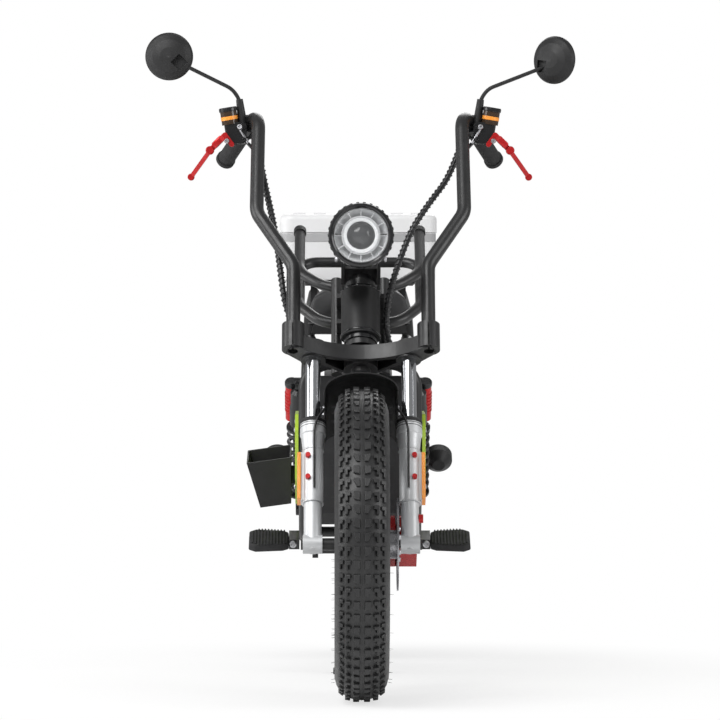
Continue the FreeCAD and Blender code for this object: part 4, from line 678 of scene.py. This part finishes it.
def helix(name, points, radius, pitch, wire_radius, steps=12):
    """A wire wound round a smooth route."""
    path = route_points(points)
    lengths = [0.0]
    for before, after in zip(path, path[1:]):
        lengths.append(lengths[-1] + (after - before).length)
    total = lengths[-1]
    count = int(total / pitch * steps)
    places = []
    side = Vector((1, 0, 0))
    leg = 0
    for k in range(count + 1):
        run = total * k / count
        while leg < len(path) - 2 and lengths[leg + 1] < run:
            leg += 1
        share = (run - lengths[leg]) / max(lengths[leg + 1] - lengths[leg], 1e-9)
        middle = path[leg].lerp(path[leg + 1], share)
        way = (path[leg + 1] - path[leg]).normalized()
        side = (side - way * side.dot(way)).normalized()
        turn = math.tau * k / steps
        places.append(middle + (side * math.cos(turn) + way.cross(side) * math.sin(turn)) * radius)
    return wire(name, places, wire_radius, smooth=False)


# Tread blocks of one side: name, count round the tyre, outline across and along the travel,
# foot's distance from the axle, height, lean, and place across
TREAD = (
    ("inner", 36, ((4, -10), (15, -7.5), (17, -5), (17, 10), (4, 10)), 295, 9.8, 0, 0),
    ("flared", 36, ((4, -9), (11, -9), (17, 7), (17, 10), (4, 10)), 295, 9, 0, 0),
    ("middle", 72, ((20, 1), (26, 1), (26, -10), (31, -10), (31, 9.5), (20, 9.5)), 290, 11.3, 9, 0),
    ("shoulder", 72, ((-5, 1), (1.5, 1), (1.5, -10), (7, -10), (7, 9.5), (-5, 9.5)), 281, 11.8, 38, 33),
)

# Casing of the tyre: distance from the axle and across, from the crown to the bead
CASING = (
    (301, 0), (300.4, 10), (298, 20), (293, 31), (284.5, 41), (272, 48.6), (262, 51.2), (260, 52.2),
    (257, 52.4), (255, 51.6), (243, 52.3), (230, 50.6), (219, 46.6), (215, 42), (211, 40), (203.5, 38),
)


class SCOOTER_OT_tyres(bpy.types.Operator):
    """Tyres with every tread block, in place of the plain ones"""

    bl_idname = "scooter.tyres"
    bl_label = "Tyres"

    def execute(self, context):
        side = [(radius / 1000, across / 1000) for radius, across in CASING]
        profile = side[::-1] + [(radius, -across) for radius, across in side[1:]]
        casing = lathe("casing", profile, 96)
        settle(casing, axis_frame((0, 0, 0), (1, 0, 0)))
        parts = [casing]
        for hand in (-1, 1):
            for name, count, outline, foot, high, lean, out in TREAD:
                points = [(hand * across / 1000, along / 1000) for across, along in outline]
                block = prism(f"{name}_block", points, high / 1000, 0.88, 0.0007)
                lean_over = Matrix.Rotation(math.radians(lean) * hand, 4, "Y")
                place = Matrix.Translation((hand * out / 1000, 0, foot / 1000))
                if not out:
                    middle = sum(point[0] for point in points) / len(points)
                    place = Matrix.Translation((middle, 0, foot / 1000))
                    settle(block, Matrix.Translation((-middle, 0, 0)))
                if name == "flared":
                    place = Matrix.Rotation(math.tau / count / 2, 4, "X") @ place
                settle(block, place @ lean_over)
                parts.append(ring_of(block, count, (0, 0, 0), (1, 0, 0)))
            hair = start("cone", "moulding_hair", vertices=4, radius1=0.0004, radius2=0.0002, depth=0.007)
            settle(hair, axis_frame((hand * 0.0555, 0, 0.268), (hand, 0, 0.1)))
            parts.append(ring_of(hair, 40, (0, 0, 0), (1, 0, 0)))
        seam = lathe("tread_seam", [
            (0.298, -0.0012), (0.3015, -0.0006), (0.3015, 0.0006), (0.298, 0.0012),
        ], 96)
        parts.append(settle(seam, axis_frame((0, 0, 0), (1, 0, 0))))
        front = join("tyre_front_tread", parts)
        rear = again(front, Matrix.Translation((0, REAR_AXLE_Y, AXLE_HEIGHT)))
        rear.name = "tyre_rear_tread"
        settle(front, Matrix.Translation((0, FRONT_AXLE_Y, AXLE_HEIGHT)))
        for piece, body, node in ((front, "front_wheel", "front_tyre"), (rear, "rear_wheel", "rear_tyre")):
            polish(piece, body, "tyre_rubber", 28)
            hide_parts(node)
        return {"FINISHED"}


# Wrapped leads: the same control points as their solids, across, behind and up along the stem
CABLES = {
    "cable_right": (
        (-210, -46.1, 900), (-196, -40, 820), (-180, -44, 740), (-168, -48, 670),
        (-160, -46, 600), (-150, -32, 525), (-122, 12, 476), (-84, 52, 462),
    ),
    "cable_left": (
        (206, -46.1, 900), (184, -38, 830), (142, -36, 770), (104, -30, 710),
        (80, -12, 650), (60, 4, 590), (51, 9, 530), (53, 20, 490), (66, 60, 452),
    ),
}


class SCOOTER_OT_cables(bpy.types.Operator):
    """Leads in spiral wrap from the bars to the frame"""

    bl_idname = "scooter.cables"
    bl_label = "Wrapped leads"

    def execute(self, context):
        for node, route in CABLES.items():
            points = [from_steer(*(value / 1000 for value in place)) for place in route]
            core = wire(node + "_core", points, 0.0056)
            wrap = helix(node + "_wrap", points, 0.0058, 0.0105, 0.0017)
            piece = join(node + "_wrapped", [core, wrap])
            shade(piece, "spiral_wrap", 60)
            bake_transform(piece)
            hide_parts(node)
        return {"FINISHED"}


LAMP = Vector((0, -0.500, 0.908))


class SCOOTER_OT_headlight(bpy.types.Operator):
    """Headlight bezel, reflector, light ring and projector"""

    bl_idname = "scooter.headlight"
    bl_label = "Headlight"

    def execute(self, context):
        face = axis_frame(LAMP, (0, -1, 0))
        bezel = lathe("lamp_bezel", [
            (0.0545, 0.004), (0.0545, 0.009), (0.058, 0.0115), (0.0625, 0.0105), (0.0645, 0.006),
            (0.0645, -0.008), (0.0635, -0.008), (0.0635, 0.0035), (0.058, 0.004),
        ], 96)
        notch = rounded_box("bezel_rib", (0.0032, 0.006, 0.013), (0.0641, 0, -0.0005), 0.0009)
        settle(bezel, face)
        ribs = settle(ring_of(notch, 30, (0, 0, 0), (0, 0, 1)), face)
        polish(join("lamp_bezel_ring", [bezel, ribs]), "steering", "gloss_black")
        bowl = lathe("lamp_reflector_bowl", [
            (0.0525, -0.003), (0.0505, -0.012), (0.045, -0.022), (0.038, -0.03), (0.031, -0.034),
            (0.031, -0.037), (0.04, -0.034), (0.048, -0.024), (0.053, -0.012), (0.054, -0.004),
        ], 96)
        shelf = lathe("lamp_reflector_step", [
            (0.0385, -0.010), (0.0385, -0.006), (0.036, -0.004), (0.0355, -0.02), (0.0385, -0.02),
        ], 72)
        rib = rounded_box("reflector_rib", (0.014, 0.0016, 0.012), (0.0455, 0, -0.016), 0.0004, 1)
        ribs = ring_of(rib, 12, (0, 0, 0), (0, 0, 1))
        for piece in (bowl, shelf, ribs):
            settle(piece, face)
        bright = join("lamp_reflector", [bowl, shelf, ribs])
        polish(bright, "steering", "lamp_reflector", 30)
        ring = lathe("lamp_light_ring", [
            (0.0278, -0.012), (0.0278, -0.006), (0.030, -0.004), (0.0345, -0.004), (0.036, -0.007),
            (0.036, -0.012),
        ], 72)
        tooth = rounded_box("ring_tooth", (0.0046, 0.0032, 0.0016), (0.0322, 0, -0.0042), 0.0004, 1)
        teeth = ring_of(tooth, 28, (0, 0, 0), (0, 0, 1))
        settle(ring, face)
        settle(teeth, face)
        polish(join("lamp_ring", [ring, teeth]), "steering", "ring_white", 30)
        barrel = lathe("lamp_barrel", [
            (0.0275, -0.034), (0.0275, -0.008), (0.0255, -0.006), (0.0235, -0.0085), (0.0235, -0.034),
        ], 64)
        shutter = rounded_box("lamp_shutter", (0.046, 0.0022, 0.006), (0, 0.0005, -0.016), 0.0006, 1)
        fins = [
            rounded_box("lamp_fin", (0.0165, 0.0022, 0.005), (side * 0.0445, 0.002, -0.010), 0.0006, 1)
            for side in (-1, 1)
        ]
        back = lathe("lamp_back", [(0.0001, -0.030), (0.031, -0.030), (0.031, -0.036), (0.0001, -0.036)], 48)
        for piece in (barrel, shutter, back, *fins):
            settle(piece, face)
        dark = join("lamp_projector", [barrel, shutter, back, *fins])
        polish(dark, "steering", "gloss_black")
        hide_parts("headlight_optic")
        eye = start("uv_sphere", "lamp_eye", segments=48, ring_count=24, radius=0.0235)
        eye.scale = (1, 1, 0.62)
        settle(eye)
        edit(eye)
        bpy.ops.mesh.bisect(plane_co=(0, 0, 0), plane_no=(0, 0, 1), clear_inner=True, use_fill=True)
        close(eye)
        settle(eye, face @ Matrix.Translation((0, 0, -0.0205)))
        polish(eye, "steering", "dark_glass", 40)
        glass = lathe("lamp_glass", [
            (0.0001, 0.0128), (0.018, 0.0118), (0.034, 0.0088), (0.047, 0.0048), (0.0545, 0.0025),
            (0.0545, 0.001), (0.047, 0.0032), (0.034, 0.0072), (0.018, 0.0102), (0.0001, 0.0112),
        ], 72)
        settle(glass, face)
        polish(glass, "steering", "clear_lens", 40)
        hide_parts("headlight_lens")
        places = [(side * 0.0465, LAMP.y + 0.08, LAMP.z - 0.045) for side in (-1, 1)]
        for place, side in zip(places, (-1, 1)):
            piece = bolts("lamp_bolt", [place], (side, 0, 0), 0.0062, 0.005)
            piece.name = "lamp_bolt_" + ("left" if side > 0 else "right")
            polish(piece, "steering", "zinc_steel")
        return {"FINISHED"}


def leg(across, behind, high):
    """A place on the fork, across, behind and up from the legs' own feet, in millimetres."""
    return from_steer(across / 1000, behind / 1000, high / 1000)


LEG_ACROSS = 94.6
LEG_BEHIND = -40


class SCOOTER_OT_fork(bpy.types.Operator):
    """Seals, grooves, rings and fittings on the fork legs and crown"""

    bl_idname = "scooter.fork"
    bl_label = "Fork fittings"

    def execute(self, context):
        seals = []
        rings = []
        for side in (-1, 1):
            foot = axis_frame(leg(side * LEG_ACROSS, LEG_BEHIND, 0), UP)
            seal = lathe("seal", [
                (0.0155, 0.258), (0.0262, 0.258), (0.0262, 0.264), (0.0225, 0.268), (0.0175, 0.271),
                (0.0155, 0.271),
            ], 48)
            seals.append(settle(seal, foot))
            for high in (0.2545, 0.249):
                groove = lathe("groove", [
                    (0.025, high), (0.0259, high + 0.0003), (0.0259, high + 0.0013), (0.025, high + 0.0016),
                ], 48)
                seals.append(settle(groove, foot))
            for low, radius in ((0.0855, 0.0214), (0.199, 0.0216)):
                band = lathe("band", [
                    (radius - 0.003, low), (radius, low + 0.0006), (radius, low + 0.0022),
                    (radius - 0.003, low + 0.0028),
                ], 48)
                rings.append(settle(band, foot))
        polish(join("fork_seals", seals), "steering", "grip_rubber")
        polish(join("fork_bands", rings), "steering", "silver_paint")
        collars = []
        for high, radius, tall in ((462, 0.0335, 0.012), (476, 0.0405, 0.004), (574, 0.0402, 0.005)):
            collar = lathe("head_collar", [
                (radius - 0.004, 0), (radius - 0.0008, 0), (radius, 0.001), (radius, tall - 0.001),
                (radius - 0.0008, tall), (radius - 0.004, tall),
            ], 48)
            collars.append(settle(collar, axis_frame(leg(0, 0, high), UP)))
        polish(join("head_collars", collars), "chassis", "gloss_black")
        nut_place = leg(0, 0, 401)
        nut = lathe("stem_nut_ring", [
            (0.010, 0), (0.0105, 0.005), (0.0135, 0.0062), (0.0165, 0.005), (0.0175, 0), (0.0175, -0.004),
            (0.010, -0.004),
        ], 40)
        settle(nut, axis_frame(nut_place, -UP))
        core = start("cylinder", "stem_nut", vertices=6, radius=0.0095, depth=0.008)
        settle(core, axis_frame(nut_place, -UP))
        polish(join("stem_nut_set", [nut, core]), "steering", "cast_black")
        pinch = []
        for side in (-1, 1):
            for across, behind in ((side * 121, -62), (side * 151, -70)):
                pinch.append(leg(across, behind, 421))
        screws = [bolts("crown_screw", [place], tuple(-BACK), 0.0045, 0.006) for place in pinch]
        polish(join("crown_screws", screws), "steering", "zinc_steel")
        return {"FINISHED"}


# Knuckles of a lever: place, radius and depth
KNUCKLES = (((0.307, -0.199, 1.0905), 0.0088, 0.014), ((0.3475, -0.142, 1.0385), 0.0072, 0.0115))


class SCOOTER_OT_bar_fittings(bpy.types.Operator):
    """Cup bands and caps, adjusters, lever pins and knuckles, and hose ends on the bars"""

    bl_idname = "scooter.bar_fittings"
    bl_label = "Bar fittings"

    def execute(self, context):
        amber = []
        steel = []
        black = []
        for side in (-1, 1):
            cup_way = Vector((side * 0.16, -0.05, 0.98)).normalized()
            cup = axis_frame(Vector((side * 0.265, -0.193, 1.142)) + cup_way * 0.002, cup_way)
            band = lathe("oil_band", [
                (0.0165, 0.009), (0.0174, 0.0093), (0.0174, 0.0165), (0.0165, 0.0168),
            ], 40)
            amber.append(settle(band, cup))
            cap = lathe("cup_cap", [
                (0.0172, 0.0265), (0.0186, 0.027), (0.0186, 0.0335), (0.0172, 0.0352), (0.0001, 0.0355),
                (0.0001, 0.030),
            ], 40)
            black.append(settle(cap, cup))
            pin = bolts("lever_pin", [(side * 0.272, -0.2155, 1.109)], (0, -1, 0), 0.0055, 0.004)
            knob = bolts("adjuster", [(side * 0.246, -0.21, 1.137)], (0, -1, 0.2), 0.006, 0.006)
            rod = wire("push_rod", [
                Vector((side * 0.246, -0.212, 1.134)), Vector((side * 0.238, -0.208, 1.120)),
                Vector((side * 0.229, -0.200, 1.106)),
            ], 0.0026)
            steel += [pin, knob, rod]
            for high in (1.112, 1.136):
                black.append(bolts("clamp_screw", [(side * 0.2385, -0.2075, high)], (0, -1, 0), 0.004, 0.003))
            hose = wire("bar_hose", [
                Vector((side * 0.236, -0.196, 1.112)), Vector((side * 0.222, -0.200, 1.098)),
                Vector((side * 0.212, -0.185, 1.085)), Vector((side * 0.210, -0.17, 1.070)),
            ], 0.0038)
            black.append(hose)
        knuckles = []
        for side in (-1, 1):
            for place, radius, deep in KNUCKLES:
                barrel = lathe("knuckle", [
                    (0.0001, -deep / 2), (radius * 0.85, -deep / 2), (radius, -deep / 2 + 0.0015),
                    (radius, deep / 2 - 0.0015), (radius * 0.85, deep / 2), (0.0001, deep / 2),
                ], 28)
                knuckles.append(settle(barrel, axis_frame((side * place[0], *place[1:]), (0, 1, 0))))
            fork = rounded_box("lever_fork", (0.026, 0.015, 0.014), (0, 0, 0), 0.003)
            turn = Matrix.Rotation(math.radians(side * 45), 4, "Y")
            settle(fork, Matrix.Translation((side * 0.2905, -0.204, 1.1075)) @ turn)
            knuckles.append(fork)
        polish(join("lever_knuckles", knuckles), "steering", "red_anodised")
        polish(join("oil_bands", amber), "steering", "amber_reflector")
        polish(join("bar_steel", steel), "steering", "zinc_steel")
        polish(join("bar_black", black), "steering", "gloss_black")
        return {"FINISHED"}


# Section of the fender's arch: its middle from the axle, its two rises and its two half widths
ARCH_MIDDLE = 0.2985
ARCH_RISES = (0.0355, 0.0325)
ARCH_HALVES = (0.073, 0.070)
ARCH_SWEEP = math.radians(50)


class SCOOTER_OT_fender(bpy.types.Operator):
    """Front fender that starts above the axle, with its arched section and clips"""

    bl_idname = "scooter.fender"
    bl_label = "Front fender"

    def execute(self, context):
        outer = []
        inner = []
        for turn in range(-8, 9):
            share = math.sin(math.radians(turn * 11.25))
            rise = math.cos(math.radians(turn * 11.25))
            outer.append((ARCH_MIDDLE + ARCH_RISES[0] * rise, ARCH_HALVES[0] * share))
            inner.append((ARCH_MIDDLE + ARCH_RISES[1] * rise, ARCH_HALVES[1] * share))
        profile = outer + inner[::-1]
        sheet = start("circle", "fender_sheet", vertices=len(profile), radius=1)
        for vert, (radius, across) in zip(sheet.data.vertices, profile):
            vert.co = (across, 0, radius)
        edit(sheet, "VERT")
        bpy.ops.mesh.edge_face_add()
        bpy.ops.mesh.select_all(action="SELECT")
        bpy.ops.mesh.spin(steps=24, angle=ARCH_SWEEP, center=(0, 0, 0), axis=(1, 0, 0))
        close(sheet)
        settle(sheet, Matrix.Translation((0, FRONT_AXLE_Y, AXLE_HEIGHT)))
        tabs = [sheet]
        for side in (-1, 1):
            tab = rounded_box("fender_tab", (0.0028, 0.024, 0.052), (0, 0, 0), 0.0009, 1)
            turn = Matrix.Rotation(-RAKE, 4, "X")
            tabs.append(settle(tab, Matrix.Translation(leg(side * 71.6, -40, 288)) @ turn))
        sheet = join("fender_sheet", tabs)
        polish(sheet, "steering", "moulded_black", 40)
        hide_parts("front_fender")
        screws = []
        for side in (-1, 1):
            for behind, high in ((-44, 280), (-34, 300)):
                place = leg(side * 73.2, behind, high)
                screws.append(bolts("clip_screw", [place], (side, 0, 0), 0.0042, 0.003))
        polish(join("fender_screws", screws), "steering", "zinc_steel")
        return {"FINISHED"}


SEAT_Y = 0.2325
SEAT_Z = 0.779
SEAT_FOOT = 0.742
PADDING_MOST = 0.006


class SCOOTER_OT_seat(bpy.types.Operator):
    """Padded seat cover blown up by simulation, with its piping"""

    bl_idname = "scooter.seat"
    bl_label = "Seat"

    def execute(self, context):
        clear()
        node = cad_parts["seat_cushion"]
        copy = node.copy()
        copy.data = node.data.copy()
        copy.parent = None
        context.scene.collection.objects.link(copy)
        copy.matrix_world = node.matrix_world
        settle(copy)
        copy.name = "seat_cover"
        edit(copy)
        close(copy)
        shrink = Matrix.Translation((0, SEAT_Y, SEAT_Z)) @ Matrix.Diagonal((0.975, 0.983, 0.94, 1))
        settle(copy, shrink @ Matrix.Translation((0, -SEAT_Y, -SEAT_Z)))
        apply(copy, "REMESH", mode="VOXEL", voxel_size=0.0055)
        self.blow(copy)
        apply(copy, "SUBSURF", levels=1)
        polish(copy, "chassis", "seat_cover", 60)
        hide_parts("seat_cushion")
        self.piping()
        return {"FINISHED"}

    def blow(self, piece):
        """Blow the cover up as cloth, less and less towards its foot."""
        still = [vert.co.copy() for vert in piece.data.vertices]
        hold(piece)
        cloth = piece.modifiers.new("Padding", "CLOTH")
        cloth.settings.use_pressure = True
        cloth.settings.uniform_pressure_force = 4
        cloth.settings.effector_weights.gravity = 0
        cloth.point_cache.frame_end = 20
        for step in range(1, 21):
            bpy.context.scene.frame_set(step)
        bpy.ops.object.modifier_apply(modifier="Padding")
        bpy.context.scene.frame_set(1)
        for vert, first in zip(piece.data.vertices, still):
            move = vert.co - first
            if move.length > PADDING_MOST:
                move *= PADDING_MOST / move.length
            low = min(max((first.z - SEAT_FOOT) / 0.02, 0), 1)
            vert.co = first + move * low

    def piping(self):
        """A cord of piping round the cover's foot."""
        points = []
        for turn in range(48):
            angle = math.tau * turn / 48
            across = 0.107 * math.copysign(abs(math.cos(angle)) ** 0.35, math.cos(angle))
            along = 0.156 * math.copysign(abs(math.sin(angle)) ** 0.35, math.sin(angle))
            points.append(Vector((across, SEAT_Y + along, 0.7405)))
        points.append(points[0])
        trim = wire("seat_piping", points, 0.0022, smooth=False)
        polish(trim, "chassis", "grip_rubber", 60)


class SCOOTER_OT_shocks(bpy.types.Operator):
    """Coil springs and dampers of the rear shocks, and ribs and caps on their reservoirs"""

    bl_idname = "scooter.shocks"
    bl_label = "Rear shocks"

    def execute(self, context):
        low_end = Vector((0, REAR_AXLE_Y - 0.085, 0.330))
        high_end = Vector((0, REAR_AXLE_Y - 0.285, 0.610))
        way = (high_end - low_end).normalized()
        length = (high_end - low_end).length
        for side, word in ((-1, "right"), (1, "left")):
            low = low_end + Vector((side * 0.132, 0, 0))
            points = [low + way * (0.054 + (length - 0.174) * k / 4) for k in range(5)]
            coil = helix("spring_" + word, points, 0.0215, 0.0205, 0.0042, 18)
            polish(coil, "chassis", "powder_coat", 60)
            place = axis_frame(low, way)
            body = lathe("damper_" + word, [
                (0.0001, 0.004), (0.007, 0.004), (0.007, 0.040), (0.016, 0.043), (0.026, 0.047),
                (0.026, 0.0515), (0.012, 0.0525), (0.012, length - 0.122), (0.026, length - 0.120),
                (0.026, length - 0.115), (0.0185, length - 0.112), (0.0185, length - 0.06),
                (0.0165, length - 0.052), (0.0165, length - 0.022), (0.008, length - 0.014),
                (0.0001, length - 0.014),
            ], 40)
            settle(body, place)
            eyes = []
            for end in (low, low + way * length):
                eye = lathe("eye", [
                    (0.0105, -0.0068), (0.0142, -0.0062), (0.0142, 0.0062), (0.0105, 0.0068),
                ], 32)
                eyes.append(settle(eye, axis_frame(end, (1, 0, 0))))
            whole = join("shock_body_" + word, [body, *eyes])
            polish(whole, "chassis", "gloss_black")
            if side > 0:
                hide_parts("rear_shocks")
            beside = Vector((side * 0.014, 0.0219, 0.0156))
            tank = axis_frame(low + way * (length - 0.112) + beside, way)
            cap = lathe("tank_cap_" + word, [
                (0.0001, 0.0885), (0.0148, 0.0885), (0.0152, 0.090), (0.0152, 0.098), (0.0135, 0.101),
                (0.0001, 0.101),
            ], 32)
            bands = [settle(cap, tank)]
            for k in range(6):
                rib = lathe("tank_rib", [
                    (0.0138, 0.022 + k * 0.009), (0.0154, 0.0224 + k * 0.009), (0.0154, 0.0258 + k * 0.009),
                    (0.0138, 0.0262 + k * 0.009),
                ], 32)
                bands.append(settle(rib, tank))
            cap_piece = bands.pop(0)
            polish(cap_piece, "chassis", "gloss_black")
            polish(join("tank_ribs_" + word, bands), "chassis", "red_anodised")
        return {"FINISHED"}


class SCOOTER_OT_cool_box(bpy.types.Operator):
    """Grey seam band, latch and handles of the cooler"""

    bl_idname = "scooter.cool_box"
    bl_label = "Cool box trim"

    def execute(self, context):
        band = rounded_box("cooler_band", (0.3425, 0.2525, 0.018), (0, 0.565, 0.931), 0.0262, 4)
        edit(band)
        bpy.ops.mesh.bisect(plane_co=(0, 0, 0.9225), plane_no=(0, 0, 1), clear_inner=True, use_fill=True)
        bpy.ops.mesh.select_all(action="SELECT")
        bpy.ops.mesh.bisect(plane_co=(0, 0, 0.9395), plane_no=(0, 0, 1), clear_outer=True, use_fill=True)
        close(band)
        polish(band, "chassis", "grey_plastic")
        latch = rounded_box("cooler_latch", (0.04, 0.008, 0.036), (0, 0.4365, 0.927), 0.003)
        polish(latch, "chassis", "grey_plastic")
        handles = []
        for side in (-1, 1):
            handles.append(rounded_box("handle", (0.008, 0.09, 0.016), (side * 0.172, 0.565, 0.905), 0.003))
        polish(join("cooler_handles", handles), "chassis", "grey_plastic")
        return {"FINISHED"}


DISC_SCREW = (0.0715, 0, 0.029)
MOTOR_SCREW = (-0.0438, 0, 0.101)
VALVE_FOOT = (0, 0, 0.1975)


class SCOOTER_OT_wheel_fittings(bpy.types.Operator):
    """Disc screws, valves and motor cover screws"""

    bl_idname = "scooter.wheel_fittings"
    bl_label = "Wheel fittings"

    def execute(self, context):
        for body, axle_y in (("front_wheel", FRONT_AXLE_Y), ("rear_wheel", REAR_AXLE_Y)):
            first = settle(bolt_mesh("disc_screw", 0.0055, 0.004), axis_frame(DISC_SCREW, (1, 0, 0)))
            ring = ring_of(first, 6, (0, 0, 0), (1, 0, 0))
            settle(ring, Matrix.Translation((0, axle_y, AXLE_HEIGHT)))
            polish(ring, body, "zinc_steel")
            ring.name = body + "_disc_screws"
            valve = lathe(body + "_valve", [
                (0.0001, 0), (0.0045, 0), (0.0045, 0.006), (0.003, 0.008), (0.003, 0.026), (0.0038, 0.026),
                (0.0038, 0.033), (0.0001, 0.033),
            ], 16)
            turned = Matrix.Translation((0, axle_y, AXLE_HEIGHT)) @ Matrix.Rotation(math.radians(36), 4, "X")
            settle(valve, turned @ axis_frame(VALVE_FOOT, (0.15, 0, -1)))
            polish(valve, body, "zinc_steel")
        first = settle(bolt_mesh("motor_screw", 0.004, 0.003), axis_frame(MOTOR_SCREW, (-1, 0, 0)))
        ring = ring_of(first, 12, (0, 0, 0), (1, 0, 0))
        settle(ring, Matrix.Translation((0, REAR_AXLE_Y, AXLE_HEIGHT)))
        polish(ring, "rear_wheel", "zinc_steel")
        ring.name = "motor_screws"
        return {"FINISHED"}


PEG_INNER = 0.147
# Foot peg seen from above, in millimetres: outward from its inner end, and behind its middle
PEG_PLAN = ((0, -27), (12, -35), (70, -40), (84, -30), (84, 28), (70, 38), (12, 32), (0, 24))


class SCOOTER_OT_pegs(bpy.types.Operator):
    """Rubber foot pegs with fine ribs"""

    bl_idname = "scooter.pegs"
    bl_label = "Foot pegs"

    def execute(self, context):
        tilt = Matrix.Rotation(math.radians(24), 4, "X")
        for side, word in ((-1, "right"), (1, "left")):
            plan = [(side * (PEG_INNER + out / 1000), along / 1000) for out, along in PEG_PLAN]
            slab = prism("peg_slab", plan, 0.016, 0.97, 0.002)
            settle(slab, Matrix.Translation((0, 0, -0.012)))
            ribs = []
            for k in range(11):
                out = 10 + k * 6.6
                half = 31 + min(k, 6) * 0.9
                if k > 8:
                    half -= (k - 8) * 5
                place = (side * (PEG_INNER + out / 1000), -0.0015, 0.0042)
                ribs.append(rounded_box("peg_rib", (0.0034, half * 0.002, 0.004), place, 0.0008, 1))
            piece = settle(join("peg_" + word, [slab, *ribs]), Matrix.Translation((0, -0.040, 0.290)) @ tilt)
            polish(piece, "chassis", "grip_rubber", 30)
            if side > 0:
                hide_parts("foot_pegs")
        return {"FINISHED"}


# Screws of a side panel, along and up, in millimetres
PANEL_SCREWS = ((-262, 520), (-250, 405), (60, 395), (-110, 535))
PANEL_FACE = 0.1318
BATTERY_SIDE = -0.0868


class SCOOTER_OT_trim(bpy.types.Operator):
    """Peg bolts, panel screws, charging cap, battery lock, motor lead and rear turn lenses"""

    bl_idname = "scooter.trim"
    bl_label = "Small trim"

    def execute(self, context):
        steel = []
        for side in (-1, 1):
            place = Vector((side * 0.138, -0.066, 0.279))
            steel.append(bolts("peg_bolt", [place], (side * 0.2, -1, 0.1), 0.0075, 0.005))
            screws = [(side * PANEL_FACE, along / 1000, high / 1000) for along, high in PANEL_SCREWS]
            steel.append(bolts("panel_screw", screws, (side, 0, 0), 0.005, 0.0026))
        polish(join("frame_screws", steel), "chassis", "zinc_steel")
        lamps = []
        for side in (-1, 1):
            centre = Vector((side * 0.180, REAR_AXLE_Y - 0.039, 0.440))
            lens = lathe("rear_lens", [
                (0.0001, 0.0005), (0.0285, 0.0005), (0.0285, 0.003), (0.020, 0.007), (0.008, 0.009),
                (0.0001, 0.0092),
            ], 40)
            turn = Matrix.Rotation(math.radians(35), 4, "X")
            settle(lens, Matrix.Translation(centre) @ turn @ axis_frame((0, 0.014, 0), (0, 1, 0)))
            lamps.append(lens)
        polish(join("rear_turn_lenses", lamps), "chassis", "amber_reflector")
        cap = lathe("charging_cap", [
            (0.0001, 0), (0.017, 0), (0.017, 0.004), (0.014, 0.0065), (0.0001, 0.0065),
        ], 32)
        settle(cap, axis_frame((BATTERY_SIDE, -0.262, 0.593), (-1, 0, 0)))
        lock = lathe("battery_lock", [
            (0.0001, 0), (0.011, 0), (0.011, 0.003), (0.009, 0.0045), (0.003, 0.0045), (0.003, 0.0025),
            (0.0001, 0.0025),
        ], 28)
        settle(lock, axis_frame((BATTERY_SIDE, -0.222, 0.593), (-1, 0, 0)))
        polish(cap, "chassis", "moulded_black")
        polish(lock, "chassis", "zinc_steel")
        motor = wire("motor_lead", [
            Vector((-0.099, 0.645, 0.305)), Vector((-0.108, 0.628, 0.300)), Vector((-0.106, 0.58, 0.316)),
            Vector((-0.102, 0.52, 0.352)), Vector((-0.098, 0.44, 0.356)), Vector((-0.092, 0.36, 0.352)),
        ], 0.0048)
        polish(motor, "chassis", "grip_rubber", 60)
        return {"FINISHED"}


class SCOOTER_PT_panel(bpy.types.Panel):
    """Buttons and values for the scooter"""

    bl_idname = "SCOOTER_PT_panel"
    bl_label = "Golf scooter"
    bl_space_type = "VIEW_3D"
    bl_region_type = "UI"
    bl_category = "Scooter"

    def draw(self, context):
        for step in STEPS:
            self.layout.operator(step.bl_idname)
        for group in (context.scene.scooter_looks, context.scene.scooter_sizes):
            for name in group.__annotations__:
                self.layout.prop(group, name)


STEPS = (
    SCOOTER_OT_stage,
    SCOOTER_OT_finishes,
    SCOOTER_OT_tyres,
    SCOOTER_OT_cables,
    SCOOTER_OT_headlight,
    SCOOTER_OT_fork,
    SCOOTER_OT_bar_fittings,
    SCOOTER_OT_fender,
    SCOOTER_OT_seat,
    SCOOTER_OT_shocks,
    SCOOTER_OT_cool_box,
    SCOOTER_OT_wheel_fittings,
    SCOOTER_OT_pegs,
    SCOOTER_OT_trim,
)
GROUPS = (ScooterLooks, ScooterSizes)


def register():
    """Register the classes and their values."""
    for item in (*GROUPS, *STEPS, SCOOTER_PT_panel):
        bpy.utils.register_class(item)
    bpy.types.Scene.scooter_looks = bpy.props.PointerProperty(type=ScooterLooks)
    bpy.types.Scene.scooter_sizes = bpy.props.PointerProperty(type=ScooterSizes)


def unregister():
    """Take the classes and their values away again."""
    del bpy.types.Scene.scooter_sizes
    del bpy.types.Scene.scooter_looks
    for item in (SCOOTER_PT_panel, *reversed(STEPS), *reversed(GROUPS)):
        bpy.utils.unregister_class(item)


def main():
    register()
    for step in STEPS:
        group, name = step.bl_idname.split(".")
        getattr(getattr(bpy.ops, group), name)()


if __name__ == "__main__":
    main()
